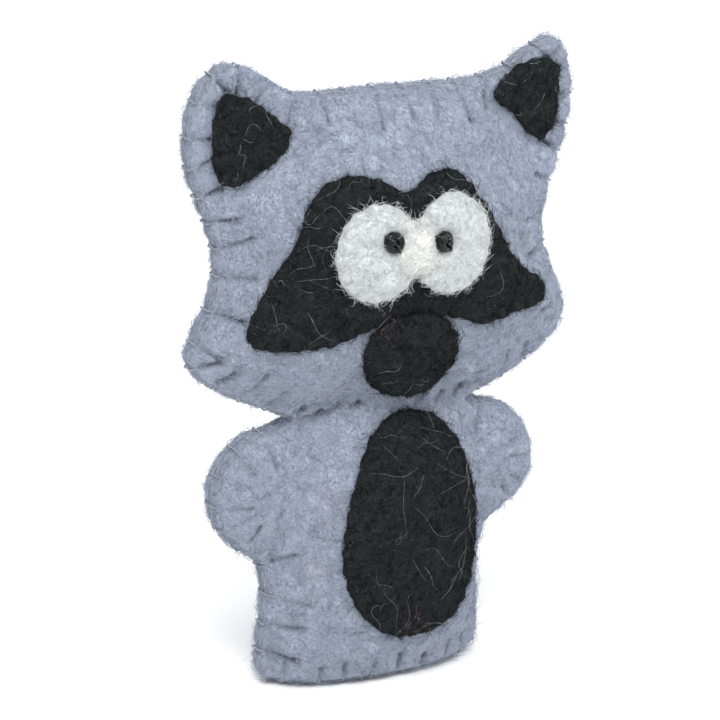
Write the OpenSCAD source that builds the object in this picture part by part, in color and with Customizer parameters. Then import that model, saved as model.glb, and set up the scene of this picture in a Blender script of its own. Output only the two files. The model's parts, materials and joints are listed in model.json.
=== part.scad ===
// Raccoon finger puppet, hand-sewn from wool felt. Millimetres.
// +Z is up and the face looks along -Y. The origin is the middle of the puppet's
// box, on the surface that the hem stands on. The puppet's own left is +X.

/* [Body] */
// Height of the neck seam above the hem
neck_height = 44; // [36:1:54]
// Width across the open hem
hem_width = 39.8; // [36:0.2:50]
// Width across the hips, a little above the hem
hip_width = 41; // [37:0.2:52]
// Thickness of the open hem, front to back
hem_thickness = 15.2; // [12:0.2:20]
// Thickness of the belly, front to back
belly_thickness = 20; // [16:0.5:26]
// Length of the neck seam between body and head
neck_width = 32; // [26:1:36]

/* [Head] */
// Width across the cheek points
cheek_width = 68.6; // [57:1:84]
// Height of the cheek points above the neck seam
cheek_rise = 10.6; // [8:0.2:14]
// Width across the temples
temple_width = 58.8; // [49:1:72]
// Height of the temples above the neck seam
temple_rise = 25; // [20:0.5:30]
// Height of the head from the neck seam to its top edge
head_height = 50.4; // [42:0.2:62]
// Thickness of the stuffed head, front to back
head_thickness = 19.6; // [16:0.2:26]

/* [Ears] */
// Width of the top edge between the ear folds
crown_width = 28.6; // [22:0.2:36]
// Width across the lower ends of the ear folds
ear_base_width = 62.4; // [52:0.2:74]
// Drop of an ear fold from its upper to its lower end
ear_base_drop = 17; // [13:0.5:21]
// Width across both ears at their widest
ear_spread = 69; // [60:1:84]
// Width between the two ear tips
ear_tip_spacing = 59.4; // [50:0.2:72]
// Height of the ear tips above the top edge
ear_rise = 5.6; // [4:0.2:9]

/* [Arms] */
// Width across both arms
arm_span = 59; // [50:0.5:71]
// Width between the two arm folds
arm_fold_spacing = 41; // [38:0.5:50]
// Height of the lower end of an arm fold above the hem
arm_low = 21.6; // [18:0.2:26]
// Length of an arm fold
arm_depth = 19.6; // [15:0.2:20]
// Thickness of a padded arm, front to back
arm_thickness = 8.4; // [6:0.2:11]

/* [Folds] */
// Largest angle that the head nods about the neck seam
neck_fold = 30; // [15:1:40]
// Largest angle that an arm folds forward or back
arm_fold = 40; // [20:1:50]
// Largest angle that an ear folds forward or back
ear_fold = 35; // [20:1:45]

/* [Felt and thread] */
// Thickness of the felt of body, head, arms and ears
felt = 2.2; // [1.6:0.1:2.8]
// Thickness of the felt of the mask, eyes, belly and ear patches
patch_felt = 1.2; // [0.8:0.1:1.8]
// Width of the flat sewn band inside an edge
seam_band = 4.4; // [3.4:0.2:5.6]
// Diameter of the sewing thread
thread = 0.6; // [0.4:0.1:0.9]
// Distance from one edge stitch to the next
stitch_pitch = 4.1; // [3:0.1:6]
// Length of an edge stitch, from the edge to its needle hole
stitch_reach = 4; // [3:0.1:5]

/* [Face] */
// Width of the mask from wing to wing
mask_width = 53; // [44:0.5:60]
// Height of the mask
mask_height = 27; // [22:0.5:32]
// Height of the mask's centre above the neck seam
mask_rise = 25.4; // [22:0.2:30]
// Diameter of each round eye
eye_diameter = 15.6; // [12:0.2:18.8]
// Distance between the middles of the eyes
eye_spacing = 11.8; // [10:0.2:14.2]
// Height of the eyes above the neck seam
eye_rise = 28; // [24:0.2:32]
// Distance between the two pupil beads
bead_spacing = 8.6; // [7:0.2:11]
// Diameter of a pupil bead
bead_diameter = 3.4; // [2.6:0.1:4.2]
// Length of a pupil bead along its hole
bead_length = 1.7; // [1.4:0.1:2.6]
// Diameter of the hole through a pupil bead
bead_hole = 1.2; // [0.9:0.1:1.5]
// Width of the nose
nose_width = 15.4; // [12:0.2:18.6]
// Height of the nose
nose_height = 13.2; // [11:0.2:16]
// Height of the nose's centre above the neck seam
nose_rise = 11; // [9.6:0.2:13]
// Thickness of the domed nose at its middle
nose_thickness = 2.6; // [2:0.1:3.4]

/* [Patches] */
// Width of the belly patch
belly_width = 24; // [20:0.5:28]
// Height of the belly patch
belly_height = 33.6; // [28:0.2:36]
// Sideways offset of the belly patch towards the puppet's left
belly_offset = 1.2; // [0:0.1:3]
// Height of the belly patch's lower end above the hem
belly_low = 7.4; // [6:0.2:9]
// Distance from an ear's edge to its black patch
ear_margin = 4.2; // [3.4:0.1:5.6]

/* [Hidden] */

grey = "#8b90ab";
black = "#26262b";
white = "#ecebe6";
grey_thread = "#666a80";

// Smallest gap left between two pieces when they are folded as far as they go
fold_gap = 0.35;
// Gap under a patch that lies on a curved surface
lay_gap = 0.2;
// Share of a thread's diameter that stands out of the felt
thread_proud = 0.4;
// Steps between two control points of a smooth outline
curve_steps = 3;
// Rings of a padded surface, as shares of the way from its middle to its edge
pad_rings = [0.22, 0.44, 0.62, 0.76, 0.88, 1];

top_z = neck_height + head_height;
// From a fold's axis to the edge of the piece that it folds against
function fold_room(angle) = felt * sin(angle) + fold_gap;
body_top = neck_height - fold_room(neck_fold);
head_middle = neck_height + temple_rise;
arm_x = arm_fold_spacing / 2;
arm_top = arm_low + arm_depth;

// ---------- curves ----------

function mix(a, b, t) = a + (b - a) * t;

function curve_point(a, b, c, d, t) =
    (2 * b + (c - a) * t + (2 * a - 5 * b + 4 * c - d) * t * t
     + (3 * b - a - 3 * c + d) * t * t * t) / 2;

// Smooth open curve through the control points
function smooth(p, steps = curve_steps) = [
    for (i = [0 : len(p) - 2], k = [0 : steps - 1])
        curve_point(p[max(i - 1, 0)], p[i], p[i + 1], p[min(i + 2, len(p) - 1)], k / steps),
    p[len(p) - 1]
];

// The straight line from a to b in equal steps, without b
function line(a, b, steps) = [for (k = [0 : steps - 1]) mix(a, b, k / steps)];

function mirrored(p) = [for (i = [len(p) - 1 : -1 : 0]) [-p[i].x, p[i].y]];

function unit(v) = v / norm(v);

function running(path, i = 0, sum = 0) =
    i == len(path) ? [] : concat([sum + (i > 0 ? norm(path[i] - path[i - 1]) : 0)],
        running(path, i + 1, sum + (i > 0 ? norm(path[i] - path[i - 1]) : 0)));

function span_at(lengths, s, i = 1) =
    i >= len(lengths) - 1 || lengths[i] >= s ? i : span_at(lengths, s, i + 1);

// Evenly spaced places on an open path: [point, direction to its left]
function places(path, pitch, margin = 0) =
    let (lengths = running(path), total = lengths[len(path) - 1] - 2 * margin,
         count = max(2, round(total / pitch)))
    [for (k = [0 : count])
        let (s = margin + total * k / count, i = span_at(lengths, s),
             d = unit(path[i] - path[i - 1]),
             p = path[i - 1] + d * (s - lengths[i - 1]))
        [p, [-d.y, d.x]]];

// ---------- outlines, seen from the front, as [x, z] ----------

neck_x = neck_width / 2;
cheek_x = cheek_width / 2;
temple_x = temple_width / 2;

ear_a = [crown_width / 2, top_z];
ear_b = [ear_base_width / 2, top_z - ear_base_drop];
ear_out = unit([ear_a.y - ear_b.y, ear_b.x - ear_a.x]);

// Right-hand edge of the head, from the neck seam up to the ear fold
head_side = smooth([
    [neck_x, neck_height],
    [mix(neck_x, cheek_x, 0.36), neck_height + 0.14 * cheek_rise],
    [mix(neck_x, cheek_x, 0.68), neck_height + 0.42 * cheek_rise],
    [mix(neck_x, cheek_x, 0.94), neck_height + 0.75 * cheek_rise],
    [cheek_x, neck_height + cheek_rise],
    [mix(cheek_x, temple_x, 0.24), neck_height + mix(cheek_rise, temple_rise, 0.26)],
    [mix(cheek_x, temple_x, 0.7), neck_height + mix(cheek_rise, temple_rise, 0.58)],
    [temple_x, head_middle],
    ear_b - ear_out * fold_room(ear_fold)
], 2);
head_top = [ear_a.x - fold_room(ear_fold) / ear_out.x, top_z];

head_half = concat(
    head_side,
    [for (t = [0.25, 0.5, 0.75]) mix(head_side[len(head_side) - 1], head_top, t)],
    line(head_top, [0, top_z], 2)
);
head_outline = concat(
    head_half, [[0, top_z]], mirrored(head_half),
    [for (t = [0.25, 0.5, 0.75]) [mix(-neck_x, neck_x, t), neck_height]]
);

// Edge of the left ear, from the upper end of its fold round the tip to the lower end
ear_tip = [ear_tip_spacing / 2, top_z + ear_rise];
ear_side = [ear_spread / 2, top_z - ear_rise];
ear_edge = smooth([
    ear_a,
    [mix(ear_a.x, ear_tip.x, 0.28), top_z + 0.04 * ear_rise],
    [mix(ear_a.x, ear_tip.x, 0.6), top_z + 0.5 * ear_rise],
    [mix(ear_a.x, ear_tip.x, 0.84), top_z + 0.9 * ear_rise],
    ear_tip,
    [mix(ear_tip.x, ear_side.x, 0.56), top_z + 0.68 * ear_rise],
    [mix(ear_tip.x, ear_side.x, 0.88), top_z],
    ear_side,
    [mix(ear_side.x, ear_b.x, 0.22), mix(ear_side.y, ear_b.y, 0.48)],
    ear_b
], 2);

// Edge of the left arm, from the upper end of its fold round to the lower end
arm_tip = arm_span / 2;
arm_edge = smooth([
    [arm_x, arm_top],
    [mix(arm_x, arm_tip, 0.36), arm_low + 0.98 * arm_depth],
    [mix(arm_x, arm_tip, 0.7), arm_low + 0.84 * arm_depth],
    [mix(arm_x, arm_tip, 0.92), arm_low + 0.66 * arm_depth],
    [arm_tip, arm_low + 0.5 * arm_depth],
    [mix(arm_x, arm_tip, 0.93), arm_low + 0.3 * arm_depth],
    [mix(arm_x, arm_tip, 0.68), arm_low + 0.14 * arm_depth],
    [mix(arm_x, arm_tip, 0.34), arm_low + 0.04 * arm_depth],
    [arm_x, arm_low]
], 2);
arm_centre = [mix(arm_x, arm_tip, 0.42), arm_low + arm_depth / 2];
arm_outline = concat(
    [for (i = [len(arm_edge) - 1 : -1 : 0]) arm_edge[i]],
    [for (t = [0.25, 0.5, 0.75]) [arm_x, mix(arm_top, arm_low, t)]]
);

function oval(centre, width, height, count) = [
    for (a = [0 : 360 / count : 359])
        centre + [cos(a) * width / 2, sin(a) * height / 2]
];

// ---------- how far each surface stands in front of the seam plane ----------

// Angle from straight down, from 0 to 180, on either side
function turn(p, centre) = atan2(abs(p.x - centre.x), centre.y - p.y);

function edge_table(half, centre) = [for (p = half) [turn(p, centre), norm(p - centre)]];

// Where the sewn band begins, as a share of the way from the centre to the edge. The band
// keeps its width square to the edge where the edge runs at a slant.
function band_table(half, centre) = [
    for (i = [0 : len(half) - 1])
        let (d = unit(half[min(i + 1, len(half) - 1)] - half[max(i - 1, 0)]),
             q = half[i] - centre)
        [turn(half[i], centre), 1 - seam_band / abs(q.x * d.y - q.y * d.x)]];

head_centre = [0, head_middle];
head_sweep = concat([[0, neck_height], [neck_x / 2, neck_height]], head_half, [[0, top_z]]);
head_table = edge_table(head_sweep, head_centre);
head_band = band_table(head_sweep, head_centre);

function pad_rise(s, rim, square, round) =
    s >= rim ? 0 : pow(1 - pow(s / rim, square), round);

// Inside of the head's felt
function head_inside(p) =
    let (a = turn(p, head_centre), s = norm(p - head_centre) / lookup(a, head_table))
    (head_thickness / 2 - felt) * pad_rise(s, lookup(a, head_band), 2.6, 0.75);

function head_surface(p) = head_inside(p) + felt;

arm_right_table = [for (i = [0 : len(arm_edge) - 1])
    let (p = arm_edge[len(arm_edge) - 1 - i])
    [turn(p, arm_centre), norm(p - arm_centre)]];

// Inside of an arm's felt, which is flat along the fold
function arm_inside(p) =
    let (reach = p.x >= arm_centre.x
            ? lookup(turn(p, arm_centre), arm_right_table)
            : norm([arm_centre.x - arm_x, arm_depth / 2]),
         s = max(norm(p - arm_centre) / reach,
                 (arm_centre.x - p.x) / (arm_centre.x - arm_x)))
    (arm_thickness / 2 - felt) * pad_rise(s, 0.9, 2, 0.8);

// Half width of the body at height z
hip_z = 5;
waist_x = arm_x - fold_room(arm_fold);
body_widths = [
    [0, hem_width / 2], [hip_z, hip_width / 2], [arm_low - 1, hem_width / 2],
    [arm_low - 0.6, waist_x], [body_top - 4, waist_x],
    [body_top, min(waist_x, neck_x)]
];
function body_half(z) = lookup(z, body_widths);

// Half width of the padded space inside the body at height z
pocket_widths = [
    [0, hem_width / 2 - seam_band], [hip_z, hip_width / 2 - seam_band],
    [arm_low, waist_x - seam_band], [body_top, waist_x - seam_band]
];

// Inside of the body's felt on its middle line at height z
pocket_end = body_top - 3;
belly_inside = belly_thickness / 2 - felt;
body_depths = smooth([
    [0, hem_thickness / 2 - felt],
    [0.19 * body_top, mix(hem_thickness / 2 - felt, belly_inside, 0.7)],
    [0.46 * body_top, belly_inside],
    [0.68 * body_top, 0.92 * belly_inside],
    [0.8 * body_top, 0.7 * belly_inside],
    [0.88 * body_top, 0.38 * belly_inside],
    [pocket_end, 0.04 * belly_inside],
    [body_top, 0]
]);
function body_inside(p) =
    lookup(p.y, body_depths) * pad_rise(abs(p.x), lookup(p.y, pocket_widths), 2.4, 0.7);

function body_surface(p) = body_inside(p) + felt;

// The seam plane lies behind the middle of the puppet's box, because the pupils stand out
bead_at = [bead_spacing / 2, neck_height + eye_rise];
bead_seat = head_surface(bead_at) + 2 * (patch_felt + lay_gap) + lay_gap;
front_reach = max(bead_seat + bead_length,
                  head_surface([0, neck_height + nose_rise]) + lay_gap + nose_thickness);
seam_y = (front_reach - head_thickness / 2) / 2;

// ---------- solids from surfaces ----------

function ring_faces(rings, n) = [
    for (i = [0 : n - 1]) [0, 1 + (i + 1) % n, 1 + i],
    for (r = [0 : rings - 2], i = [0 : n - 1])
        let (a = 1 + r * n + i, b = 1 + r * n + (i + 1) % n)
        each [[a, b, b + n], [a, b + n, a + n]]
];

function turned_over(faces, shift) = [
    for (f = faces) [f[0] + shift, f[2] + shift, f[1] + shift]
];

// Solid between two surfaces over a round outline. over() and under() give the distance
// in front of the seam plane at [x, z].
module padded(outline, centre, rings, over, under) {
    n = len(outline);
    flat = concat([centre], [for (s = rings, p = outline) mix(centre, p, s)]);
    count = len(flat);
    top = ring_faces(len(rings), n);
    rim = 1 + (len(rings) - 1) * n;
    polyhedron(
        points = concat([for (p = flat) [p.x, seam_y - over(p), p.y]],
                        [for (p = flat) [p.x, seam_y - under(p), p.y]]),
        faces = concat(top, turned_over(top, count), [
            for (i = [0 : n - 1])
                let (a = rim + i, b = rim + (i + 1) % n)
                each [[a, b, b + count], [a, b + count, a + count]]
        ]),
        convexity = 6);
}

// One felt wall of the body, from the hem up to the neck
body_columns = [for (k = [-9 : 9]) sin(k * 10)];
body_rows = concat(
    [for (k = [0 : 4]) mix(0, arm_low - 3, k / 4)],
    [arm_low - 1, arm_low - 0.6],
    [for (k = [1 : 6]) mix(arm_low - 0.6, pocket_end, k / 6)],
    [body_top]
);
module body_wall() {
    n = len(body_columns);
    rows = len(body_rows);
    flat = [for (z = body_rows, u = body_columns) [body_half(z) * u, z]];
    count = len(flat);
    grid = [
        for (r = [0 : rows - 2], i = [0 : n - 2])
            let (a = r * n + i)
            each [[a, a + n, a + n + 1], [a, a + n + 1, a + 1]]
    ];
    edge = concat([for (i = [0 : n - 2]) i], [for (r = [0 : rows - 2]) r * n + n - 1],
                  [for (i = [n - 1 : -1 : 1]) (rows - 1) * n + i],
                  [for (r = [rows - 1 : -1 : 1]) r * n]);
    polyhedron(
        points = concat([for (p = flat) [p.x, seam_y - body_surface(p), p.y]],
                        [for (p = flat) [p.x, seam_y - body_inside(p), p.y]]),
        faces = concat(grid, turned_over(grid, count), [
            for (i = [0 : len(edge) - 1])
                let (a = edge[i], b = edge[(i + 1) % len(edge)])
                each [[a, b, b + count], [a, b + count, a + count]]
        ]),
        convexity = 8);
}

module behind() {
    translate([0, 2 * seam_y, 0]) mirror([0, 1, 0]) children();
}

module on_right() {
    mirror([1, 0, 0]) children();
}

// ---------- thread ----------

// Straight length of thread from a to b
module strand(a, b) {
    d = b - a;
    translate(a) rotate([0, acos(d.z / norm(d)), atan2(d.y, d.x)])
        cylinder(d = thread, h = norm(d), $fn = 16);
}

// One edge stitch: a flat loop of thread round the sewn band, at a place on the edge
module edge_stitch(place, outside = thread_proud) {
    t = felt + thread_proud * thread;
    o = outside * thread;
    inward = place[1];
    translate([place[0].x, seam_y, place[0].y])
        rotate([0, -atan2(inward.y, inward.x), 0])
        translate([0, 0, -thread / 2])
        linear_extrude(thread)
        polygon([[-o, -t], [stitch_reach, -t], [stitch_reach, thread - t], [thread - o, thread - t],
                 [thread - o, t - thread], [stitch_reach, t - thread], [stitch_reach, t], [-o, t]]);
}

module edge_stitches(path, margin) {
    for (place = places(path, stitch_pitch, margin)) edge_stitch(place);
}

// Short stitches over the edge of a patch. level() is how far its underside stands forward.
whip_length = 2.4;
whip_pitch = 4.4;
module patch_stitches(outline, level, rise = patch_felt) {
    closed = concat(outline, [outline[0]]);
    spots = places(closed, whip_pitch);
    for (k = [0 : len(spots) - 2]) {
        p = spots[k][0];
        inner = p + spots[k][1] * whip_length * 0.7;
        outer = p - spots[k][1] * whip_length * 0.3;
        strand([outer.x, seam_y - level(outer) - 0.1, outer.y],
               [inner.x, seam_y - level(inner) - rise - 0.1, inner.y]);
    }
}

// ---------- body ----------

module body_front_felt() {
    color(grey) body_wall();
}

module body_back_felt() {
    color(grey) behind() body_wall();
}

// Egg shape with its narrow end at the neck
belly_middle = [belly_offset, belly_low + 0.44 * belly_height];
belly_outline = [
    for (a = [0 : 12 : 348])
        belly_middle + [cos(a) * belly_width / 2 * (1 - 0.12 * sin(a)),
                        sin(a) * belly_height * (sin(a) > 0 ? 0.56 : 0.44)]
];
patch_rings = [0.2, 0.4, 0.6, 0.8, 1];

module belly_patch() {
    color(black) padded(belly_outline, belly_middle, patch_rings,
        function(p) body_surface(p) + lay_gap + patch_felt,
        function(p) body_surface(p) + lay_gap);
}

module belly_stitches() {
    color(black) patch_stitches(belly_outline, function(p) body_surface(p) + lay_gap);
}

body_side = [for (z = [1.2 : 2 : arm_low - 2]) [body_half(z), z]];

module body_edge_stitches() {
    color(grey_thread) for (side = [0, 1]) mirror([side, 0, 0])
        edge_stitches(body_side, stitch_reach / 2);
}

// Hem stitches go round the lower edge of each felt wall, with nothing below the hem
hem_leg = 4.2;
hem_spots = [for (k = [-4 : 4]) 0.9 * (hem_width / 2 - seam_band) * sin(k * 20)];

hem_sunk = (0.5 - thread_proud) * thread;
hem_bottom = 0.55 * thread;
module hem_loop(x) {
    foot = [x, seam_y - body_surface([x, hem_bottom]) + hem_sunk, hem_bottom];
    strand(foot, [x, seam_y - body_surface([x, hem_leg]) + hem_sunk, hem_leg]);
    strand(foot, [x, seam_y - body_inside([x, hem_bottom]) - hem_sunk, hem_bottom]);
}

module hem_stitches() {
    color(grey_thread) for (x = hem_spots) {
        hem_loop(x);
        behind() hem_loop(x);
    }
}

// Stitches that close the pocket under the head, left out where the belly patch covers them
neck_spots = [for (k = [-3.5 : 3.5]) k * stitch_pitch];

module neck_stitches() {
    color(grey_thread) for (x = neck_spots)
        if (abs(x - belly_offset) > belly_width / 3 && abs(x) < neck_x - thread)
            edge_stitch([[x, body_top], [0, -1]], 0);
}

// ---------- head ----------

module head_wall() {
    padded(head_outline, head_centre, pad_rings,
        function(p) head_surface(p), function(p) head_inside(p));
}

module head_front_felt() {
    color(grey) head_wall();
}

module head_back_felt() {
    color(grey) behind() head_wall();
}

// Wadding that fills the space between the felts
stuffing_gap = 0.25;
module head_stuffing() {
    half = function(p) max(head_inside(p) - stuffing_gap, 0.1);
    color(white) padded([for (p = head_outline) mix(head_centre, p, 0.8)], head_centre,
        pad_rings, half, function(p) -half(p));
}

module head_edge_stitches() {
    color(grey_thread) {
        for (side = [0, 1]) mirror([side, 0, 0]) edge_stitches(head_side, stitch_reach / 2);
        edge_stitches([head_top, [-head_top.x, top_z]], stitch_reach / 2);
    }
}

mask_centre = [0, neck_height + mask_rise];
nose_centre = [0, neck_height + nose_rise];
nose_outline = oval(nose_centre, nose_width, nose_height, 24);

// Left half of the mask about its centre, from the brow notch round the wing to the nose
mask_half = smooth([
    [0, 0.42 * mask_height],
    [0.13 * mask_width, 0.5 * mask_height],
    [0.25 * mask_width, 0.45 * mask_height],
    [0.34 * mask_width, 0.22 * mask_height],
    [0.42 * mask_width, -0.1 * mask_height],
    [0.5 * mask_width, -0.36 * mask_height],
    [0.47 * mask_width, -0.47 * mask_height],
    [0.34 * mask_width, -0.49 * mask_height],
    [0.22 * mask_width, -0.47 * mask_height],
    [0.1 * mask_width, -0.4 * mask_height]
], 2);

// The mask is cut away round the nose
mask_nose_gap = 0.3;
function clear_of_nose(p) =
    let (a = nose_width / 2 + mask_nose_gap, b = nose_height / 2 + mask_nose_gap,
         q = p - nose_centre, k = norm([q.x / a, q.y / b]))
    k >= 1 ? p : nose_centre + q / k;

mask_outline = [
    for (p = concat(mask_half, [[0.05 * mask_width, -0.38 * mask_height]],
                    [[0, -0.38 * mask_height]],
                    [[-0.05 * mask_width, -0.38 * mask_height]],
                    [for (i = [len(mask_half) - 1 : -1 : 1]) [-mask_half[i].x, mask_half[i].y]]))
        clear_of_nose(mask_centre + p)
];
// Counter-clockwise, as the other outlines
mask_ring = [for (i = [len(mask_outline) - 1 : -1 : 0]) mask_outline[i]];

function mask_bottom(p) = head_surface(p) + lay_gap;
function mask_top(p) = mask_bottom(p) + patch_felt;

module eye_mask() {
    color(black) padded(mask_ring, mask_centre, patch_rings,
        function(p) mask_top(p), function(p) mask_bottom(p));
}

module mask_stitches() {
    color(black) patch_stitches(mask_ring, function(p) mask_bottom(p));
}

// The two round eyes are trimmed flat where they meet in the middle
eye_gap = 0.1;
eye_middle = [eye_spacing / 2, neck_height + eye_rise];
eye_outline = [
    for (p = oval(eye_middle, eye_diameter, eye_diameter, 30)) [max(p.x, eye_gap / 2), p.y]
];

function eye_bottom(p) = mask_top(p) + lay_gap;
function eye_top(p) = eye_bottom(p) + patch_felt;

module eye_white() {
    color(white) padded(eye_outline, eye_middle, [0.5, 1],
        function(p) eye_top(p), function(p) eye_bottom(p));
}

module left_eye_white() {
    eye_white();
}

module right_eye_white() {
    on_right() eye_white();
}

// Only the outer part of each eye is stitched; the inner sides meet over the nose
module eye_stitches() {
    arc = [for (a = [-120 : 12 : 120])
        eye_middle + [cos(a), sin(a)] * (eye_diameter / 2)];
    color(white) for (side = [0, 1]) mirror([side, 0, 0])
        for (spot = places(arc, whip_pitch)) {
            outer = spot[0] - spot[1] * 0.6;
            inner = spot[0] + spot[1] * 1.6;
            strand([outer.x, seam_y - mask_top(outer) - 0.1, outer.y],
                   [inner.x, seam_y - eye_top(inner) - 0.1, inner.y]);
        }
}

module pupil_bead() {
    r = bead_diameter / 2;
    hole = bead_hole / 2;
    soft = min(bead_length, r - hole) * 0.35;
    color("#101014") translate([bead_at.x, seam_y - bead_seat, bead_at.y]) rotate([90, 0, 0])
        rotate_extrude($fn = 40)
        polygon([[hole, soft], [hole + soft, 0], [r - soft, 0], [r, soft],
                 [r, bead_length - soft], [r - soft, bead_length], [hole + soft, bead_length],
                 [hole, bead_length - soft]]);
}

module left_pupil_bead() {
    pupil_bead();
}

module right_pupil_bead() {
    on_right() pupil_bead();
}

// The thread that comes up through each bead's hole and holds it down
module pupil_threads() {
    deep = bead_seat - patch_felt;
    color("#3a3a42") for (side = [-1, 1])
        strand([side * bead_at.x, seam_y - deep, bead_at.y],
               [side * bead_at.x, seam_y - bead_seat - 0.8 * bead_length, bead_at.y]);
}

module nose_pad() {
    dome = function(p)
        let (q = p - nose_centre, s = norm([2 * q.x / nose_width, 2 * q.y / nose_height]))
        head_surface(p) + lay_gap + mix(patch_felt, nose_thickness, 1 - min(s * s, 1));
    color(black) padded(nose_outline, nose_centre, [0.3, 0.55, 0.8, 1], dome,
        function(p) head_surface(p) + lay_gap);
}

module nose_stitches() {
    color(black) patch_stitches(nose_outline, function(p) head_surface(p) + lay_gap);
}

// ---------- ears ----------

module flat_felt(outline, near, thickness) {
    translate([0, seam_y - near, 0]) rotate([90, 0, 0])
        linear_extrude(thickness) polygon(outline);
}

module ear_wall() {
    flat_felt(ear_edge, 0, felt);
}

// Black patch: a rounded triangle inside the ear's edge
ear_patch_outline =
    let (corner = 2.2,
         a = ear_a + [ear_margin, -0.6] + ear_out * 1.6,
         b = ear_tip + [0.12 * ear_margin, -0.9 * ear_margin],
         c = ear_b + [-0.35 * ear_margin, ear_margin] + ear_out * 1.2,
         corners = [a, c, b])
    [for (i = [0 : 2], k = [0 : 4])
        let (p = corners[i], before = unit(corners[(i + 2) % 3] - p),
             after = unit(corners[(i + 1) % 3] - p), t = k / 4)
        p + before * corner * (1 - t) * (1 - t) * 1.6 + after * corner * t * t * 1.6];

module ear_patch() {
    flat_felt(ear_patch_outline, felt + lay_gap, patch_felt);
}

ear_path = [for (i = [len(ear_edge) - 1 : -1 : 0]) ear_edge[i]];

module ear_stitches() {
    edge_stitches(ear_path, stitch_reach);
}

module left_ear_front_felt() {
    color(grey) ear_wall();
}

module left_ear_back_felt() {
    color(grey) behind() ear_wall();
}

module left_ear_patch() {
    color(black) ear_patch();
}

module left_ear_stitches() {
    color(grey_thread) ear_stitches();
}

module right_ear_front_felt() {
    color(grey) on_right() ear_wall();
}

module right_ear_back_felt() {
    color(grey) on_right() behind() ear_wall();
}

module right_ear_patch() {
    color(black) on_right() ear_patch();
}

module right_ear_stitches() {
    color(grey_thread) on_right() ear_stitches();
}

// ---------- arms ----------

module arm_wall() {
    padded(arm_outline, arm_centre, [0.35, 0.6, 0.8, 0.92, 1],
        function(p) arm_inside(p) + felt, function(p) arm_inside(p));
}

module arm_stuffing() {
    half = function(p) max(arm_inside(p) - stuffing_gap, 0.1);
    padded([for (p = arm_outline) mix(arm_centre, p, 0.75)], arm_centre, [0.5, 0.8, 1],
        half, function(p) -half(p));
}

arm_path = [for (i = [len(arm_edge) - 1 : -1 : 0]) arm_edge[i]];

module arm_stitches() {
    edge_stitches(arm_path, stitch_reach);
}

module left_arm_front_felt() {
    color(grey) arm_wall();
}

module left_arm_back_felt() {
    color(grey) behind() arm_wall();
}

module left_arm_stuffing() {
    color(white) arm_stuffing();
}

module left_arm_stitches() {
    color(grey_thread) arm_stitches();
}

module right_arm_front_felt() {
    color(grey) on_right() arm_wall();
}

module right_arm_back_felt() {
    color(grey) on_right() behind() arm_wall();
}

module right_arm_stuffing() {
    color(white) on_right() arm_stuffing();
}

module right_arm_stitches() {
    color(grey_thread) on_right() arm_stitches();
}

body_front_felt();
body_back_felt();
belly_patch();
belly_stitches();
body_edge_stitches();
hem_stitches();
neck_stitches();
head_front_felt();
head_back_felt();
head_stuffing();
head_edge_stitches();
eye_mask();
mask_stitches();
left_eye_white();
right_eye_white();
eye_stitches();
left_pupil_bead();
right_pupil_bead();
pupil_threads();
nose_pad();
nose_stitches();
left_ear_front_felt();
left_ear_back_felt();
left_ear_patch();
left_ear_stitches();
right_ear_front_felt();
right_ear_back_felt();
right_ear_patch();
right_ear_stitches();
left_arm_front_felt();
left_arm_back_felt();
left_arm_stuffing();
left_arm_stitches();
right_arm_front_felt();
right_arm_back_felt();
right_arm_stuffing();
right_arm_stitches();
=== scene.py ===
"""A raccoon puppet for one finger: two layers of grey wool felt sewn edge to edge, with felt patches on top."""
import json
import math

import bpy
import numpy as np
from mathutils import Matrix, Vector, noise
from mathutils.bvhtree import BVHTree
from mathutils.geometry import delaunay_2d_cdt
from mathutils.kdtree import KDTree


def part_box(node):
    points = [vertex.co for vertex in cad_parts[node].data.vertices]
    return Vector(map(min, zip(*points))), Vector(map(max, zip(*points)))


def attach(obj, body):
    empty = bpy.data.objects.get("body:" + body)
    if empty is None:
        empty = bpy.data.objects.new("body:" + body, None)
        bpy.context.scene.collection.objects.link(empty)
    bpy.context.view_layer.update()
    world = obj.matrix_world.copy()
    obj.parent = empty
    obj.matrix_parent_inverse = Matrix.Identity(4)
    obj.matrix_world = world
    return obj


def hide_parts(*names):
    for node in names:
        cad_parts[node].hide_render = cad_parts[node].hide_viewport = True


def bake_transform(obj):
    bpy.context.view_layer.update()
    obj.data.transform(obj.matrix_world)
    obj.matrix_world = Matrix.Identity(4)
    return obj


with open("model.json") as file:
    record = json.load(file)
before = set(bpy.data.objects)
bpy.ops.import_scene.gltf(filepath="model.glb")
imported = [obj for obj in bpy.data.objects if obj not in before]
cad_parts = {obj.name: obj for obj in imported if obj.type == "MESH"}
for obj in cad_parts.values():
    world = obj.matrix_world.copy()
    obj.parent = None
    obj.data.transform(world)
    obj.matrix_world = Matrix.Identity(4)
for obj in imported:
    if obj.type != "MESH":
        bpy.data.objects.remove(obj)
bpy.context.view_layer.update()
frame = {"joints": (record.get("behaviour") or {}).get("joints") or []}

bl_info = {
    "name": "Felt Raccoon Puppet",
    "version": (1, 0, 0),
    "blender": (4, 5, 0),
    "location": "View3D > Sidebar > Felt Puppet",
    "description": "Makes a sewn felt raccoon puppet round its sized frame",
    "category": "Add Mesh",
}

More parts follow.
